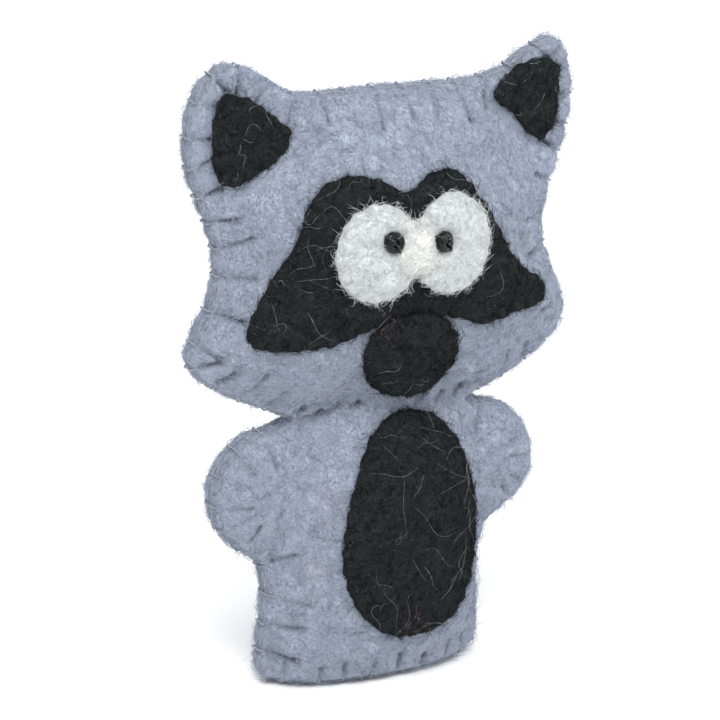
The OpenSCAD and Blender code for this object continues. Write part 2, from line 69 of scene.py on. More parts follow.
MM = 0.001
JOINTS = {joint["name"]: joint for joint in frame["joints"]}
SEAM = JOINTS["neck_nod"]["pos_m"][1] / MM
NECK = JOINTS["neck_nod"]["pos_m"][2] / MM
ARM_X = JOINTS["left_arm_swing"]["pos_m"][0] / MM
EAR_FOLD = np.array(JOINTS["left_ear_fold"]["pos_m"])[[0, 2]] / MM
EAR_OUT = np.array([-JOINTS["left_ear_fold"]["axis"][2], JOINTS["left_ear_fold"]["axis"][0]])
LEFT, RIGHT = 1, -1  # the puppet's own left is +X
FRONT, BACK = -1, 1
SIDES = ((LEFT, "left"), (RIGHT, "right"))
FACES = ((FRONT, "front"), (BACK, "back"))

# Where each joint's felt starts and ends its bend, in millimetres.
NECK_BEND = (42.0, 46.0)
ARM_BEND = (19.9, 23.1)
EAR_BEND = (-1.8, 1.8)

made = {}  # what one operator leaves for the next: surfaces, plans and pieces


# ---------------------------------------------------------------- sizes and colours

def measure(name, text, value):
    """A length that the panel shows."""
    return bpy.props.FloatProperty(name=name, description=text, default=value, unit="LENGTH")


def colour(name, text, value):
    """A colour that the panel shows."""
    return bpy.props.FloatVectorProperty(
        name=name, description=text, default=value, size=3, min=0.0, max=1.0, subtype="COLOR")


class PuppetSizes(bpy.types.PropertyGroup):
    """Sizes of the felt, its sewing and its fibres"""
    felt: measure("Felt", "Thickness of the grey felt", 0.0022)
    patch: measure("Patch felt", "Thickness of the face and belly felt", 0.0012)
    mesh_step: measure("Mesh step", "Distance between the points of the felt", 0.0007)
    stitch_pitch: measure("Stitch pitch", "Distance between two stitches on an edge", 0.0048)
    stitch_reach: measure("Stitch reach", "How far from the edge a stitch goes in", 0.0046)
    scallop: measure("Scallop", "How far a stitch pulls the edge in", 0.0004)
    thread: measure("Thread", "Radius of the sewing thread", 0.00014)
    fuzz: bpy.props.FloatProperty(
        name="Fuzz", description="Fibres on each square millimetre of the front", default=1.9, min=0.0)
    fuzz_length: measure("Fuzz length", "Length of a loose fibre", 0.0027)
    fuzz_radius: measure("Fuzz radius", "Radius of a loose fibre", 0.000033)
    seed: bpy.props.IntProperty(
        name="Seed", description="Start of the random draws", default=11)

class PuppetColours(bpy.types.PropertyGroup):
    """Colours of the felt, its thread and its beads"""
    # Each hollow colour, at 0.4 of its strength, is also the painted shade of the stitch grooves.
    grey: colour("Grey felt", "Body of the grey felt", (0.216, 0.246, 0.328))
    grey_deep: colour("Grey hollows", "Grey felt between its fibres", (0.105, 0.122, 0.170))
    grey_pale: colour("Grey fibres", "Palest fibres of the grey felt", (0.462, 0.512, 0.622))
    black: colour("Dark felt", "Body of the dark felt", (0.0042, 0.0050, 0.0064))
    black_deep: colour("Dark hollows", "Dark felt between its fibres", (0.0014, 0.0018, 0.0024))
    black_pale: colour("Dark fibres", "Palest fibres of the dark felt", (0.042, 0.047, 0.049))
    white: colour("White felt", "Body of the white felt", (0.580, 0.612, 0.605))
    white_deep: colour("White hollows", "White felt between its fibres", (0.33, 0.36, 0.36))
    white_pale: colour("White fibres", "Palest fibres of the white felt", (0.80, 0.83, 0.82))
    cream: colour("Cream wool", "Tuft between the eyes", (0.75, 0.765, 0.73))
    cream_deep: colour("Cream hollows", "Cream tuft between its fibres", (0.62, 0.64, 0.61))
    cream_pale: colour("Cream fibres", "Palest fibres of the cream tuft", (0.88, 0.89, 0.86))
    thread: colour("Grey thread", "Sewing thread of the edges", (0.40, 0.435, 0.49))
    bead: colour("Bead", "Pupil beads", (0.003, 0.003, 0.0035))


def sizes():
    """The chosen sizes."""
    return bpy.context.scene.puppet_sizes


def tint(name, share=1.0):
    """One of the chosen colours or a darker share of it, with its alpha."""
    return (*(share * c for c in getattr(bpy.context.scene.puppet_colours, name)), 1.0)


# ---------------------------------------------------------------- shader maths

class Value:
    """A socket that takes part in sums: each operation adds its Math node."""

    def __init__(self, finish, socket):
        self.finish, self.socket = finish, socket

    def maths(self, operation, *others):
        return self.finish.add("ShaderNodeMath", {"operation": operation}, dict(enumerate((self, *others))))

    def __add__(self, other):
        return self.maths("ADD", other)

    def __sub__(self, other):
        return self.maths("SUBTRACT", other)

    def __mul__(self, other):
        return self.maths("MULTIPLY", other)

    def __rsub__(self, other):
        return self.finish.add("ShaderNodeMath", {"operation": "SUBTRACT"}, {0: other, 1: self})

    def __abs__(self):
        return self.maths("ABSOLUTE")

    __radd__, __rmul__ = __add__, __mul__

    def top(self, other):
        return self.maths("MAXIMUM", other)

    def between(self, low, high):
        """0 up to low and 1 from high, with a smooth rise."""
        return self.finish.add(
            "ShaderNodeMapRange", {"interpolation_type": "SMOOTHSTEP"},
            {"Value": self, "From Min": low, "From Max": high})


class Finish:
    """A material while it is put together."""

    def __init__(self, name, **constants):
        self.material = bpy.data.materials.new(name)
        self.material.use_nodes = True
        self.tree = self.material.node_tree
        self.tree.nodes.clear()
        self.shader = self.tree.nodes.new("ShaderNodeBsdfPrincipled")
        end = self.tree.nodes.new("ShaderNodeOutputMaterial")
        self.tree.links.new(self.shader.outputs[0], end.inputs[0])
        for key, value in constants.items():
            self.shader.inputs[key.replace("_", " ")].default_value = value

    def feed(self, socket, value):
        if isinstance(value, Value):
            self.tree.links.new(value.socket, socket)
        else:
            socket.default_value = value

    def add(self, kind, settings=None, values=None, out=0):
        """A node with its settings made first, then its sockets filled or linked."""
        node = self.tree.nodes.new(kind)
        for key, value in (settings or {}).items():
            setattr(node, key, value)
        for key, value in (values or {}).items():
            self.feed(node.inputs[key], value)
        return Value(self, node.outputs[out])

    def mix(self, factor, first, second):
        """A colour between two others."""
        return self.add("ShaderNodeMix", {"data_type": "RGBA"}, {0: factor, 6: first, 7: second}, out=2)

    def set(self, socket, value):
        self.feed(self.shader.inputs[socket], value)

    def place(self):
        """The place on the resting piece, in millimetres."""
        where = self.add("ShaderNodeTexCoord", out="Object")
        return self.add("ShaderNodeVectorMath", {"operation": "SCALE"}, {0: where, "Scale": 1000.0})

    def noise(self, where, scale, detail=2.0, out="Fac", **more):
        values = {"Vector": where, "Scale": scale, "Detail": detail}
        values.update({key.replace("_", " "): value for key, value in more.items()})
        return self.add("ShaderNodeTexNoise", None, values, out=out)

    def warped(self, where, scale, reach):
        """The same place, shifted by a soft noise as far as reach."""
        shift = self.noise(where, scale, 1.0, out="Color")
        return self.add(
            "ShaderNodeVectorMath", {"operation": "MULTIPLY_ADD"},
            {0: shift, 1: (2 * reach,) * 3, 2: where})

    def strands(self, where, angle, width, length, low=0.5, high=0.93):
        """Thin pale lines that run at an angle in the plane of the felt."""
        turned = self.add(
            "ShaderNodeMapping", {"vector_type": "POINT"},
            {"Vector": where, "Rotation": (0.0, angle, 0.0), "Location": (17.0 * angle, 0.0, 5.0 * angle)})
        drawn = self.add(
            "ShaderNodeMapping", {"vector_type": "POINT"},
            {"Vector": turned, "Scale": (1 / width, 1 / (3 * width), 1 / length)})
        ridge = 1.0 - abs(self.noise(drawn, 1.0, 1.5) * 4.4 - 2.2)
        return ridge.between(low, high)

    def bump(self, height, distance, strength=1.0):
        self.set("Normal", self.add(
            "ShaderNodeBump", None, {"Height": height, "Distance": distance, "Strength": strength}))


def felt_finish(name, key, angles, width, length, mottle=0.5, paint_dent_shade=True, pink=0.0, sheen=0.06):
    """Wool felt: strands at several angles over mottled, darker hollows, and, where asked, painted shade in its stitch
    grooves.
    """
    finish = Finish(
        name, Roughness=0.95, Specular_IOR_Level=0.8 * sheen, Sheen_Weight=sheen, Sheen_Roughness=0.6)
    where = finish.place()
    bent = finish.warped(finish.warped(where, 0.16, 3.0), 0.55, 0.9)
    layers = [
        finish.strands(bent, angle, width * (1 + 0.25 * (i % 2)), length * (1 + 0.4 * (i % 3)))
        for i, angle in enumerate(angles)]
    pale = layers[0]
    for i, layer in enumerate(layers[1:]):
        pale = pale.top(layer * (1.0 - 0.12 * i))
    cloud = finish.noise(bent, 0.42, 3.0).between(0.3, 0.72)
    grit = finish.noise(bent, 3.4, 3.0, Roughness=0.62)
    hollow = grit.between(0.56, 0.36) * mottle + cloud * 0.38
    base = finish.mix(hollow, tint(key), tint(key + "_deep"))
    tone = finish.mix(pale * (0.25 + 0.9 * grit), base, tint(key + "_pale"))
    fleck = finish.noise(bent, 1.25, 2.0).between(0.69, 0.76) * 0.55
    tone = finish.mix(fleck, tone, tint(key + "_deep"))
    if pink:
        patches = finish.noise(bent, 1.1, 1.0).between(0.5, 0.65)
        blush = finish.noise(where, 0.13, 1.0).between(0.64, 0.72) * patches
        tone = finish.mix(blush * pink, tone, (0.46, 0.24, 0.33, 1.0))
    # Painted shade: a per-point value of the mesh darkens the stitch slits, holes and the sunk place round each bead
    # towards 0.4 of the hollow colour, where shade would fall.
    if paint_dent_shade:
        dent = finish.add("ShaderNodeAttribute", {"attribute_name": "dent"}, out="Fac")
        tone = finish.mix(dent * 0.86, tone, tint(key + "_deep", 0.4))
    finish.set("Base Color", tone)
    finish.bump(pale * 0.6 + grit * 0.7, 0.00030, 0.8)
    return finish.material


def fibre_finish(name, first, second, shine=0.1):
    """Loose wool whose colour drifts from place to place."""
    finish = Finish(name, Roughness=0.8, Specular_IOR_Level=2 * shine, Sheen_Weight=shine)
    drift = finish.noise(finish.place(), 1.7, 2.0).between(0.32, 0.68)
    finish.set("Base Color", finish.mix(drift, first, second))
    return finish.material


def thread_finish(name, base, dark):
    """Twisted sewing thread."""
    finish = Finish(name, Roughness=0.78, Specular_IOR_Level=0.25, Sheen_Weight=0.15)
    where = finish.place()
    ply = finish.add(
        "ShaderNodeTexWave", {"wave_type": "BANDS", "bands_direction": "DIAGONAL"},
        {"Vector": where, "Scale": 1.1, "Distortion": 3.0, "Detail": 2.0}, out="Fac")
    hair = finish.noise(where, 6.0, 3.0)
    finish.set("Base Color", finish.mix(ply * 0.55 + hair * 0.4, dark, base))
    finish.bump(ply + hair * 0.5, 0.00008)
    return finish.material


def bead_finish():
    """Black glass, a little uneven."""
    finish = Finish("black_glass", Specular_IOR_Level=0.28, Coat_Weight=0.06, Coat_Roughness=0.05)
    where = finish.place()
    smear = finish.noise(where, 1.6, 3.0)
    finish.set("Base Color", finish.mix(smear.between(0.4, 0.8), tint("bead"), (0.010, 0.0105, 0.012, 1.0)))
    finish.set("Roughness", smear * 0.25 + 0.12)
    finish.bump(finish.noise(where, 2.2, 1.0), 0.00006, 0.5)
    return finish.material


STRAND_ANGLES = (12, 58, 104, 151, 81)
# Two shades of each small finish that has no colour of its own in the panel.
PALE_STRAY = (0.13, 0.145, 0.145, 1.0), (0.38, 0.41, 0.41, 1.0)
PINK_STRAY = (0.11, 0.05, 0.065, 1.0), (0.24, 0.13, 0.16, 1.0)
DARK_THREAD = (0.05, 0.052, 0.055, 1.0), (0.012, 0.013, 0.014, 1.0)
WHITE_THREAD = (0.82, 0.83, 0.81, 1.0), (0.55, 0.56, 0.55, 1.0)


def finishes():
    """Every material of the puppet, made once."""
    if "finishes" not in made:
        turns = [math.radians(a) for a in STRAND_ANGLES]
        made["finishes"] = {
            "grey_felt": felt_finish("grey_wool_felt", "grey", turns, 0.105, 2.0, pink=0.22),
            "black_felt": felt_finish("dark_wool_felt", "black", turns[1:4], 0.12, 1.8, mottle=0.8, sheen=0.01),
            "white_felt": felt_finish("white_wool_felt", "white", turns[:4], 0.15, 1.1, mottle=0.45),
            "cream": felt_finish("cream_wool_tuft", "cream", turns[1:3], 0.2, 1.5, mottle=0.1, paint_dent_shade=False),
            "grey_fibre": fibre_finish("grey_loose_wool", tint("grey"), tint("grey_pale")),
            "dark_fibre": fibre_finish("dark_loose_wool", tint("black_deep"), tint("black_pale", 0.62), 0.01),
            "white_fibre": fibre_finish("white_loose_wool", tint("white"), tint("white_pale")),
            "cream_fibre": fibre_finish("cream_loose_wool", tint("cream"), tint("cream_pale")),
            "pale_fibre": fibre_finish("pale_stray_wool", *PALE_STRAY),
            "pink_fibre": fibre_finish("pink_stray_wool", *PINK_STRAY),
            "grey_thread": thread_finish("grey_sewing_thread", tint("thread"), tint("thread", 0.5)),
            "black_thread": thread_finish("dark_sewing_thread", *DARK_THREAD),
            "white_thread": thread_finish("white_sewing_thread", *WHITE_THREAD),
            "bead": bead_finish(),
            "wadding": felt_finish("wool_wadding", "white", turns[:2], 0.3, 2.2, mottle=0.3, paint_dent_shade=False),
        }
    return made["finishes"]


# ---------------------------------------------------------------- flat cuts

def smooth_path(points, step, closed=False):
    """Points at even steps along a smooth curve through the given ones."""
    p = np.array(points, float)
    ends = (p[-1:], p[:2]) if closed else (2 * p[:1] - p[1:2], 2 * p[-1:] - p[-2:-1])
    q = np.vstack((ends[0], p, ends[1]))
    t = np.linspace(0, 1, 16, endpoint=False)[:, None]
    fine = []
    for a, b, c, d in zip(q, q[1:], q[2:], q[3:]):
        bow = (2 * a - 5 * b + 4 * c - d) * t**2 + (3 * b - a - 3 * c + d) * t**3
        fine.append(0.5 * (2 * b + (c - a) * t + bow))
    fine = np.vstack(fine + [q[-2:-1]])
    along = np.r_[0, np.cumsum(np.linalg.norm(np.diff(fine, axis=0), axis=1))]
    even = np.linspace(0, along[-1], max(2, round(along[-1] / step)) + 1)
    out = np.stack([np.interp(even, along, fine[:, k]) for k in range(p.shape[1])], 1)
    return out[:-1] if closed else out


def unit(vectors):
    """Vectors of the same directions, one long."""
    return vectors / np.maximum(np.linalg.norm(vectors, axis=-1, keepdims=True), 1e-9)


def inward_of(outline):
    """The unit direction into a closed outline, at each of its points."""
    ahead = np.roll(outline, -1, 0) - np.roll(outline, 1, 0)
    return unit(np.stack([-ahead[:, 1], ahead[:, 0]], 1))


def flat_tree(points):
    """A search tree over the points of a flat cut."""
    tree = KDTree(len(points))
    for i, (x, z) in enumerate(points):
        tree.insert((x, z, 0), i)
    tree.balance()
    return tree


def gaps(points, tree):
    """Each point's distance to the nearest point of a tree."""
    return np.array([tree.find((x, z, 0))[2] for x, z in points])


def to_edge(points, outline):
    """Each point's distance to a closed outline."""
    ahead = np.roll(outline, -1, 0)
    return gaps(points, flat_tree(np.vstack([outline + (ahead - outline) * k / 5 for k in range(5)])))


def from_line(points, start, end):
    """Each point's distance to a stretch of line, and its share of the way along it."""
    start, way = np.array(start, float), np.subtract(end, start)
    along = np.clip((points - start) @ way / (way @ way), 0, 1)
    return np.linalg.norm(points - start - along[:, None] * way, axis=1), along


def inside(points, outline):
    """True for the points within a closed outline."""
    (ax, az), (bx, bz) = outline.T, np.roll(outline, -1, 0).T
    rise = np.where(bz == az, 1.0, bz - az)
    found = []
    for chunk in np.array_split(points, max(1, len(points) // 4000)):
        x, z = chunk[:, :1], chunk[:, 1:]
        crossed = ((az > z) != (bz > z)) & (x < (bx - ax) * (z - az) / rise + ax)
        found.append(crossed.sum(1) % 2 == 1)
    return np.concatenate(found)


ON_EDGE = 0.09  # a point this near to the outline is on it


def cut_plan(outline, step, rings=(0.2, 0.45, 0.8, 1.25), extra=None, cuts=(), seed=1):
    """A flat cut of felt: its points, its triangles and each point's distance to the edge."""
    rng = np.random.default_rng(seed)
    inward = inward_of(outline)
    fixed, edges = [outline], [(i, (i + 1) % len(outline)) for i in range(len(outline))]
    for start, end in cuts:
        count = max(2, round(np.linalg.norm(np.subtract(end, start)) / step))
        base = sum(map(len, fixed))
        fixed.append(np.linspace(start, end, count + 1))
        edges += [(base + i, base + i + 1) for i in range(count)]
    loose = []
    for depth in rings:
        ring = outline + inward * depth
        loose.append(ring[inside(ring, outline) & (to_edge(ring, outline) > 0.9 * depth)])
    low, high = outline.min(0), outline.max(0)
    rows = np.arange(low[1], high[1], step * 0.866)  # rows of even-sided triangles
    columns = np.arange(low[0], high[0], step)
    grid = np.array([(x + (i % 2) * step / 2, z) for i, z in enumerate(rows) for x in columns])
    grid += rng.uniform(-0.12, 0.12, grid.shape) * step
    if extra is not None:
        extra = extra[inside(extra, outline)]
        extra = extra[to_edge(extra, outline) > rings[-1] + 0.2]
        grid = grid[gaps(grid, flat_tree(extra)) > 0.55 * step]
        loose.append(extra)
    grid = grid[inside(grid, outline)]
    loose.append(grid[to_edge(grid, outline) > rings[-1] + 0.45 * step])
    loose = np.vstack(loose)
    for start, end in cuts:
        loose = loose[from_line(loose, start, end)[0] > 0.3 * step]
    points = np.vstack(fixed + [loose])
    found = delaunay_2d_cdt([Vector(p) for p in points], edges, [], 0, 1e-6, False)
    points = np.array([tuple(v) for v in found[0]])
    tris = np.array([f for f in found[2] if len(f) == 3])
    middle, turn = points[tris].mean(1), turn_of(points, tris)
    tris[turn < 0] = tris[turn < 0][:, ::-1]
    tris = tris[inside(middle, outline) & (abs(turn) > 1e-7)]
    used, tris = np.unique(tris, return_inverse=True)
    points, tris = points[used], tris.reshape(-1, 3)
    edge = to_edge(points, outline)
    edge[edge < ON_EDGE] = 0
    return points, tris, edge


def corners(points, tris):
    """The three corners of each triangle."""
    return (points[tris[:, k]] for k in range(3))


def turn_of(points, tris):
    """Twice each flat triangle's area, below zero where it runs clockwise."""
    a, b, c = corners(points, tris)
    return (b[:, 0] - a[:, 0]) * (c[:, 1] - a[:, 1]) - (b[:, 1] - a[:, 1]) * (c[:, 0] - a[:, 0])


def plan_area(points, tris):
    """The area of a flat cut."""
    return float(abs(turn_of(points, tris)).sum() / 2)


def lumps(points, scale, height, offset=0.0):
    """Soft unevenness of wool, the same on each run."""
    return height * np.array([noise.noise(Vector((x * scale, z * scale, offset))) for x, z in points])


def relax(values, tris, rounds, above=False):
    """Values evened out over the triangles, or laid over the high ones like a cloth."""
    pairs = np.vstack([tris[:, [0, 1]], tris[:, [1, 2]], tris[:, [2, 0]]])
    pairs = np.vstack([pairs, pairs[:, ::-1]])
    count = np.bincount(pairs[:, 0], minlength=len(values))
    count[count == 0] = 1
    for _ in range(rounds):
        mean = np.bincount(pairs[:, 0], weights=values[pairs[:, 1]], minlength=len(values)) / count
        values = np.maximum(values, mean) if above else 0.5 * values + 0.5 * mean
    return values


# ---------------------------------------------------------------- meshes

def new_piece(name, points, faces, finish, normals=None, dent=None, uv=None):
    """A mesh object in metres from millimetre points and faces of three or four corners."""
    loops = [np.asarray(block, int) for block in faces if len(block)]
    counts = np.concatenate([np.full(len(block), block.shape[1]) for block in loops])
    corners = np.concatenate([block.ravel() for block in loops])
    mesh = bpy.data.meshes.new(name)
    mesh.vertices.add(len(points))
    mesh.vertices.foreach_set("co", (np.asarray(points) * MM).astype(np.float32).ravel())
    mesh.loops.add(len(corners))
    mesh.loops.foreach_set("vertex_index", corners.astype(np.int32))
    mesh.polygons.add(len(counts))
    mesh.polygons.foreach_set("loop_start", np.r_[0, np.cumsum(counts)[:-1]].astype(np.int32))
    mesh.polygons.foreach_set("use_smooth", np.ones(len(counts), bool))
    mesh.update(calc_edges=True)
    if uv is not None:
        layer = mesh.uv_layers.new(name="OFBake")
        layer.data.foreach_set("uv", uv[corners].astype(np.float32).ravel() if len(uv) == len(points)
                               else uv.astype(np.float32).ravel())
    if dent is not None:
        mesh.attributes.new("dent", "FLOAT", "POINT").data.foreach_set("value", dent.astype(np.float32))
    if normals is not None:
        mesh.normals_split_custom_set_from_vertices([tuple(n) for n in normals])
    mesh.validate()
    mesh.materials.append(finish)
    piece = bpy.data.objects.new(name, mesh)
    bpy.context.scene.collection.objects.link(piece)
    return piece


def vertex_normals(points, tris):
    """The direction out of the surface at each point."""
    a, b, c = corners(points, tris)
    flat = np.cross(b - a, c - a)
    total = np.zeros_like(points)
    for k in range(3):
        np.add.at(total, tris[:, k], flat)
    return unit(total)


def inner_of(rim):
    """Each point's number on the inner face, which shares the points of the rim."""
    return np.where(rim, np.arange(len(rim)), len(rim) + np.cumsum(~rim) - 1)


class Felt:
    """A sheet of felt over a flat cut: an outer and an inner face that meet in a rounded edge."""

    def __init__(self, plan, outer, inner, side, dent=None):
        flat, tris, edge = plan
        self.plan, self.side = plan, side
        rim = edge == 0
        middle = (outer + inner) / 2
        outer, inner = np.where(rim, middle, outer), np.where(rim, middle, inner)
        count = len(flat)
        below = inner_of(rim)
        self.points = np.vstack([
            np.stack([flat[:, 0], SEAM + side * outer, flat[:, 1]], 1),
            np.stack([flat[:, 0], SEAM + side * inner, flat[:, 1]], 1)[~rim]])
        self.outer = tris if side == FRONT else tris[:, ::-1]
        self.inner = below[self.outer][:, ::-1]
        self.below = below
        self.normals = vertex_normals(self.points, np.vstack([self.outer, self.inner]))
        dent = np.zeros(count) if dent is None else dent
        self.dent = np.r_[dent, np.zeros(int((~rim).sum()))]
        low, high = flat.min(0), flat.max(0)
        span = (high - low).max() * 2.04
        spot = (flat - low) / span + 0.005
        self.uv = np.vstack([spot, (spot + (0.5, 0.0))[~rim]])

    def piece(self, name, finish, chosen=None):
        """The whole sheet, or the part of it whose triangles are chosen, closed along its cuts."""
        tris = self.plan[1]
        chosen = np.ones(len(tris), bool) if chosen is None else chosen
        part = tris[chosen]
        sides = np.vstack([part[:, [0, 1]], part[:, [1, 2]], part[:, [2, 0]]])
        _, first, seen = np.unique(np.sort(sides, 1), axis=0, return_index=True, return_counts=True)
        open_sides = sides[first[seen == 1]]
        on_rim = self.plan[2] == 0
        cut = open_sides[~(on_rim[open_sides[:, 0]] & on_rim[open_sides[:, 1]])]
        walls = np.stack([cut[:, 1], cut[:, 0], self.below[cut[:, 0]], self.below[cut[:, 1]]], 1)
        if self.side == BACK:
            walls = walls[:, ::-1]
        quads = np.array([w for w in walls if len(set(w)) == 4]).reshape(-1, 4)
        thin = np.array([list(dict.fromkeys(w)) for w in walls if len(set(w)) == 3]).reshape(-1, 3)
        blocks = [np.vstack([self.outer[chosen], self.inner[chosen], thin]).astype(int), quads.astype(int)]
        used = np.unique(np.concatenate([b.ravel() for b in blocks]))
        back = np.full(len(self.points), -1)
        back[used] = np.arange(len(used))
        return new_piece(
            name, self.points[used], [back[b] for b in blocks if len(b)], finish,
            self.normals[used], self.dent[used], self.uv[used])

    def tree(self):
        return BVHTree.FromPolygons([tuple(p) for p in self.points], self.outer.tolist())


def rim_shape(edge, thickness, radius, level=0.5):
    """How a felt's outer and inner faces leave its rim, which lies at a level of its thickness."""
    swell = np.sqrt(1 - (1 - np.clip(edge / radius, 0, 1)) ** 2)
    return thickness * (level + (1 - level) * swell), thickness * level * (1 - swell)


def tube(path, radius, sides=7, taper=0.55):
    """Points and faces of a closed tube along a path, narrower at its ends."""
    path = np.asarray(path, float)
    ahead = unit(np.gradient(path, axis=0))
    side = np.cross(ahead[0], (0.31, 0.27, 0.91))
    rings = []
    for i, (p, t) in enumerate(zip(path, ahead)):
        side = side - t * (side @ t)
        side /= np.linalg.norm(side)
        up = np.cross(t, side)
        size = radius * (taper if i in (0, len(path) - 1) else 1)
        turn = np.linspace(0, 2 * np.pi, sides, endpoint=False)
        rings.append(p + size * (np.cos(turn)[:, None] * side + np.sin(turn)[:, None] * up))
    points = np.vstack(rings + [path[:1], path[-1:]])
    quads, caps = [], []
    last = (len(path) - 1) * sides
    for k in range(sides):
        n = (k + 1) % sides
        quads += [(i * sides + k, i * sides + n, (i + 1) * sides + n, (i + 1) * sides + k)
                  for i in range(len(path) - 1)]
        caps += [(len(points) - 2, n, k), (len(points) - 1, last + k, last + n)]
    return points, np.array(quads), np.array(caps)


def joined(parts):
    """Several lots of points, quads and triangles as one."""
    points, quads, caps, base = [], [], [], 0
    for p, q, c in parts:
        points.append(p)
        quads.append(q + base)
        caps.append(c + base)
        base += len(p)
    return np.vstack(points), [np.vstack(quads), np.vstack(caps)]


THREAD_STEP = 0.35  # distance between the rings of a sewing thread


def thread_piece(name, paths, radius, finish):
    """Sewing thread along several paths, as one piece."""
    points, faces = joined([tube(smooth_path(p, THREAD_STEP), radius) for p in paths])
    return new_piece(name, points, faces, finish)


# ---------------------------------------------------------------- the puppet's cut and stuffing

# Half outlines in millimetres, out from the middle and up from the hem. They were cut by hand and differ.
CUT = {
    LEFT: {
        "body": ((18.4, 0.1), (19.4, 1.4), (19.7, 5.5), (19.2, 12.5), (19.4, 17.0), (20.3, 20.7)),
        "arm": ((20.3, 20.7), (22.2, 22.6), (25.2, 24.4), (27.5, 27.2), (28.3, 31.0), (27.6, 34.6), (25.8, 37.8),
                (22.8, 40.3), (19.4, 41.3), (15.6, 42.3)),
        "head": ((15.6, 42.3), (19.0, 43.6), (23.0, 45.2), (28.2, 48.2), (32.1, 51.8), (33.2, 55.0), (32.4, 58.4),
                 (30.2, 63.0), (28.6, 68.0), (28.6, 72.0), (30.1, 77.8), (31.8, 83.4), (32.6, 88.6), (32.3, 93.0),
                 (31.3, 96.8), (29.4, 99.2), (26.8, 98.8), (23.4, 96.9), (19.8, 94.9), (15.5, 94.0), (10.0, 93.9),
                 (5.0, 94.0), (0.0, 94.1)),
    },
    RIGHT: {
        "body": ((18.4, 0.1), (19.5, 1.5), (19.8, 5.0), (19.2, 11.0), (19.1, 16.0), (20.4, 20.2)),
        "arm": ((20.4, 20.2), (22.4, 21.4), (25.4, 23.6), (28.2, 27.6), (28.9, 32.2), (27.8, 36.0), (25.4, 39.0),
                (22.0, 41.0), (18.6, 41.7), (15.6, 42.9)),
        "head": ((15.6, 42.9), (21.0, 45.3), (27.2, 48.2), (31.9, 51.6), (33.5, 54.4), (32.6, 57.6), (30.8, 61.2),
                 (29.4, 65.0), (29.0, 69.0), (29.8, 73.0), (32.0, 78.4), (33.9, 83.4), (34.6, 88.2), (34.1, 92.8),
                 (32.2, 97.3), (28.9, 99.8), (25.0, 99.4), (21.2, 97.2), (17.4, 94.9), (13.5, 94.3), (8.0, 94.2),
                 (3.0, 94.2), (0.0, 94.1)),
    },
}
HEM = ((-18.4, 0.1), (-12.0, -0.1), (-5.0, 0.05), (3.0, -0.1), (11.0, 0.05), (18.4, 0.1))

HEAD_MIDDLE, HEAD_PUFF = np.array((0.0, 68.5)), 7.4
ARM_MIDDLE, ARM_PUFF = np.array((24.2, 31.4)), 2.0
POCKET_PUFF = ((0, 5.2), (8, 7.0), (20, 7.7), (28, 7.3), (34, 6.1), (38, 4.2), (41, 2.3), (43.5, 1.1), (46, 0.9),
               (50, 0.5))
POCKET_HALF = ((0, 17.4), (5, 18.0), (21.6, 18.2), (40.0, 17.6), (43.0, 14.6), (50, 14.6))


def mirrored(points, side):
    """A half outline's points on their own side."""
    return [(side * x, z) for x, z in points]


ARM_FOOT, ARM_TOP = 19, 42.5  # an arm's lowest and highest sewing
LOOSE_SEWING = {LEFT: 0.4, RIGHT: 0.65, "crown": 0.7}  # how tightly each arm and the crown are sewn


def sewing_strength(spot):
    """How deep a stitch pulls, for its place on the edge."""
    if abs(spot[0]) > ARM_X and ARM_FOOT < spot[1] < ARM_TOP:
        return LOOSE_SEWING[LEFT if spot[0] > 0 else RIGHT]
    return LOOSE_SEWING["crown"] if abs(spot[0]) < 18 and spot[1] > 80 else 1.0


def sewn_outline():
    """The puppet's outline with its stitches: each one pulls the edge in a little."""
    step, size = 0.55, sizes()
    rng = np.random.default_rng(size.seed)
    spans = [("hem", HEM)]
    spans += [(name, mirrored(CUT[LEFT][name], LEFT)) for name in ("body", "arm", "head")]
    spans += [(name, mirrored(CUT[RIGHT][name], RIGHT)[::-1]) for name in ("head", "arm", "body")]
    runs = [smooth_path(points, step)[:-1] for _, points in spans]
    outline = np.vstack(runs)
    sewn = np.concatenate([np.full(len(run), name != "hem") for run, (name, _) in zip(runs, spans)])
    inward = inward_of(outline)
    for _ in range(3):
        inward = unit(inward + np.roll(inward, 1, 0) + np.roll(inward, -1, 0))
    stitches, pull = [], np.zeros(len(outline))
    pitch, reach = size.stitch_pitch / MM, size.stitch_reach / MM
    spot = np.flatnonzero(sewn)[0] + 5
    while spot < len(outline) - 4:
        lean = rng.uniform(-0.22, 0.22)
        n = inward[spot]
        n = np.array((n[0] - lean * n[1], n[1] + lean * n[0]))
        stitches.append({
            "index": int(spot), "edge": outline[spot].copy(),
            "hole": outline[spot] + n * reach * rng.uniform(0.8, 1.25),
            "near": outline[spot] + n * reach * rng.uniform(0.05, 0.45),
            "deep": rng.uniform(0.35, 1.1) * sewing_strength(outline[spot])})
        away = (np.arange(len(outline)) - spot) * step
        pull += (size.scallop / MM) * stitches[-1]["deep"] * np.exp(-(away / 0.95) ** 2)
        spot += max(4, round(pitch * rng.uniform(0.88, 1.14) / step))
    return outline + inward * pull[:, None], stitches


def ear_fold(side):
    """A point of an ear's fold line, the way from it to the ear's tip and the way along the fold."""
    return EAR_FOLD * (side, 1), EAR_OUT * (side, 1), EAR_OUT[::-1] * (1, -side)


def past_fold(points, side):
    """How far each point lies past an ear's fold line, towards its tip."""
    fold, out, _ = ear_fold(side)
    return (points - fold) @ out


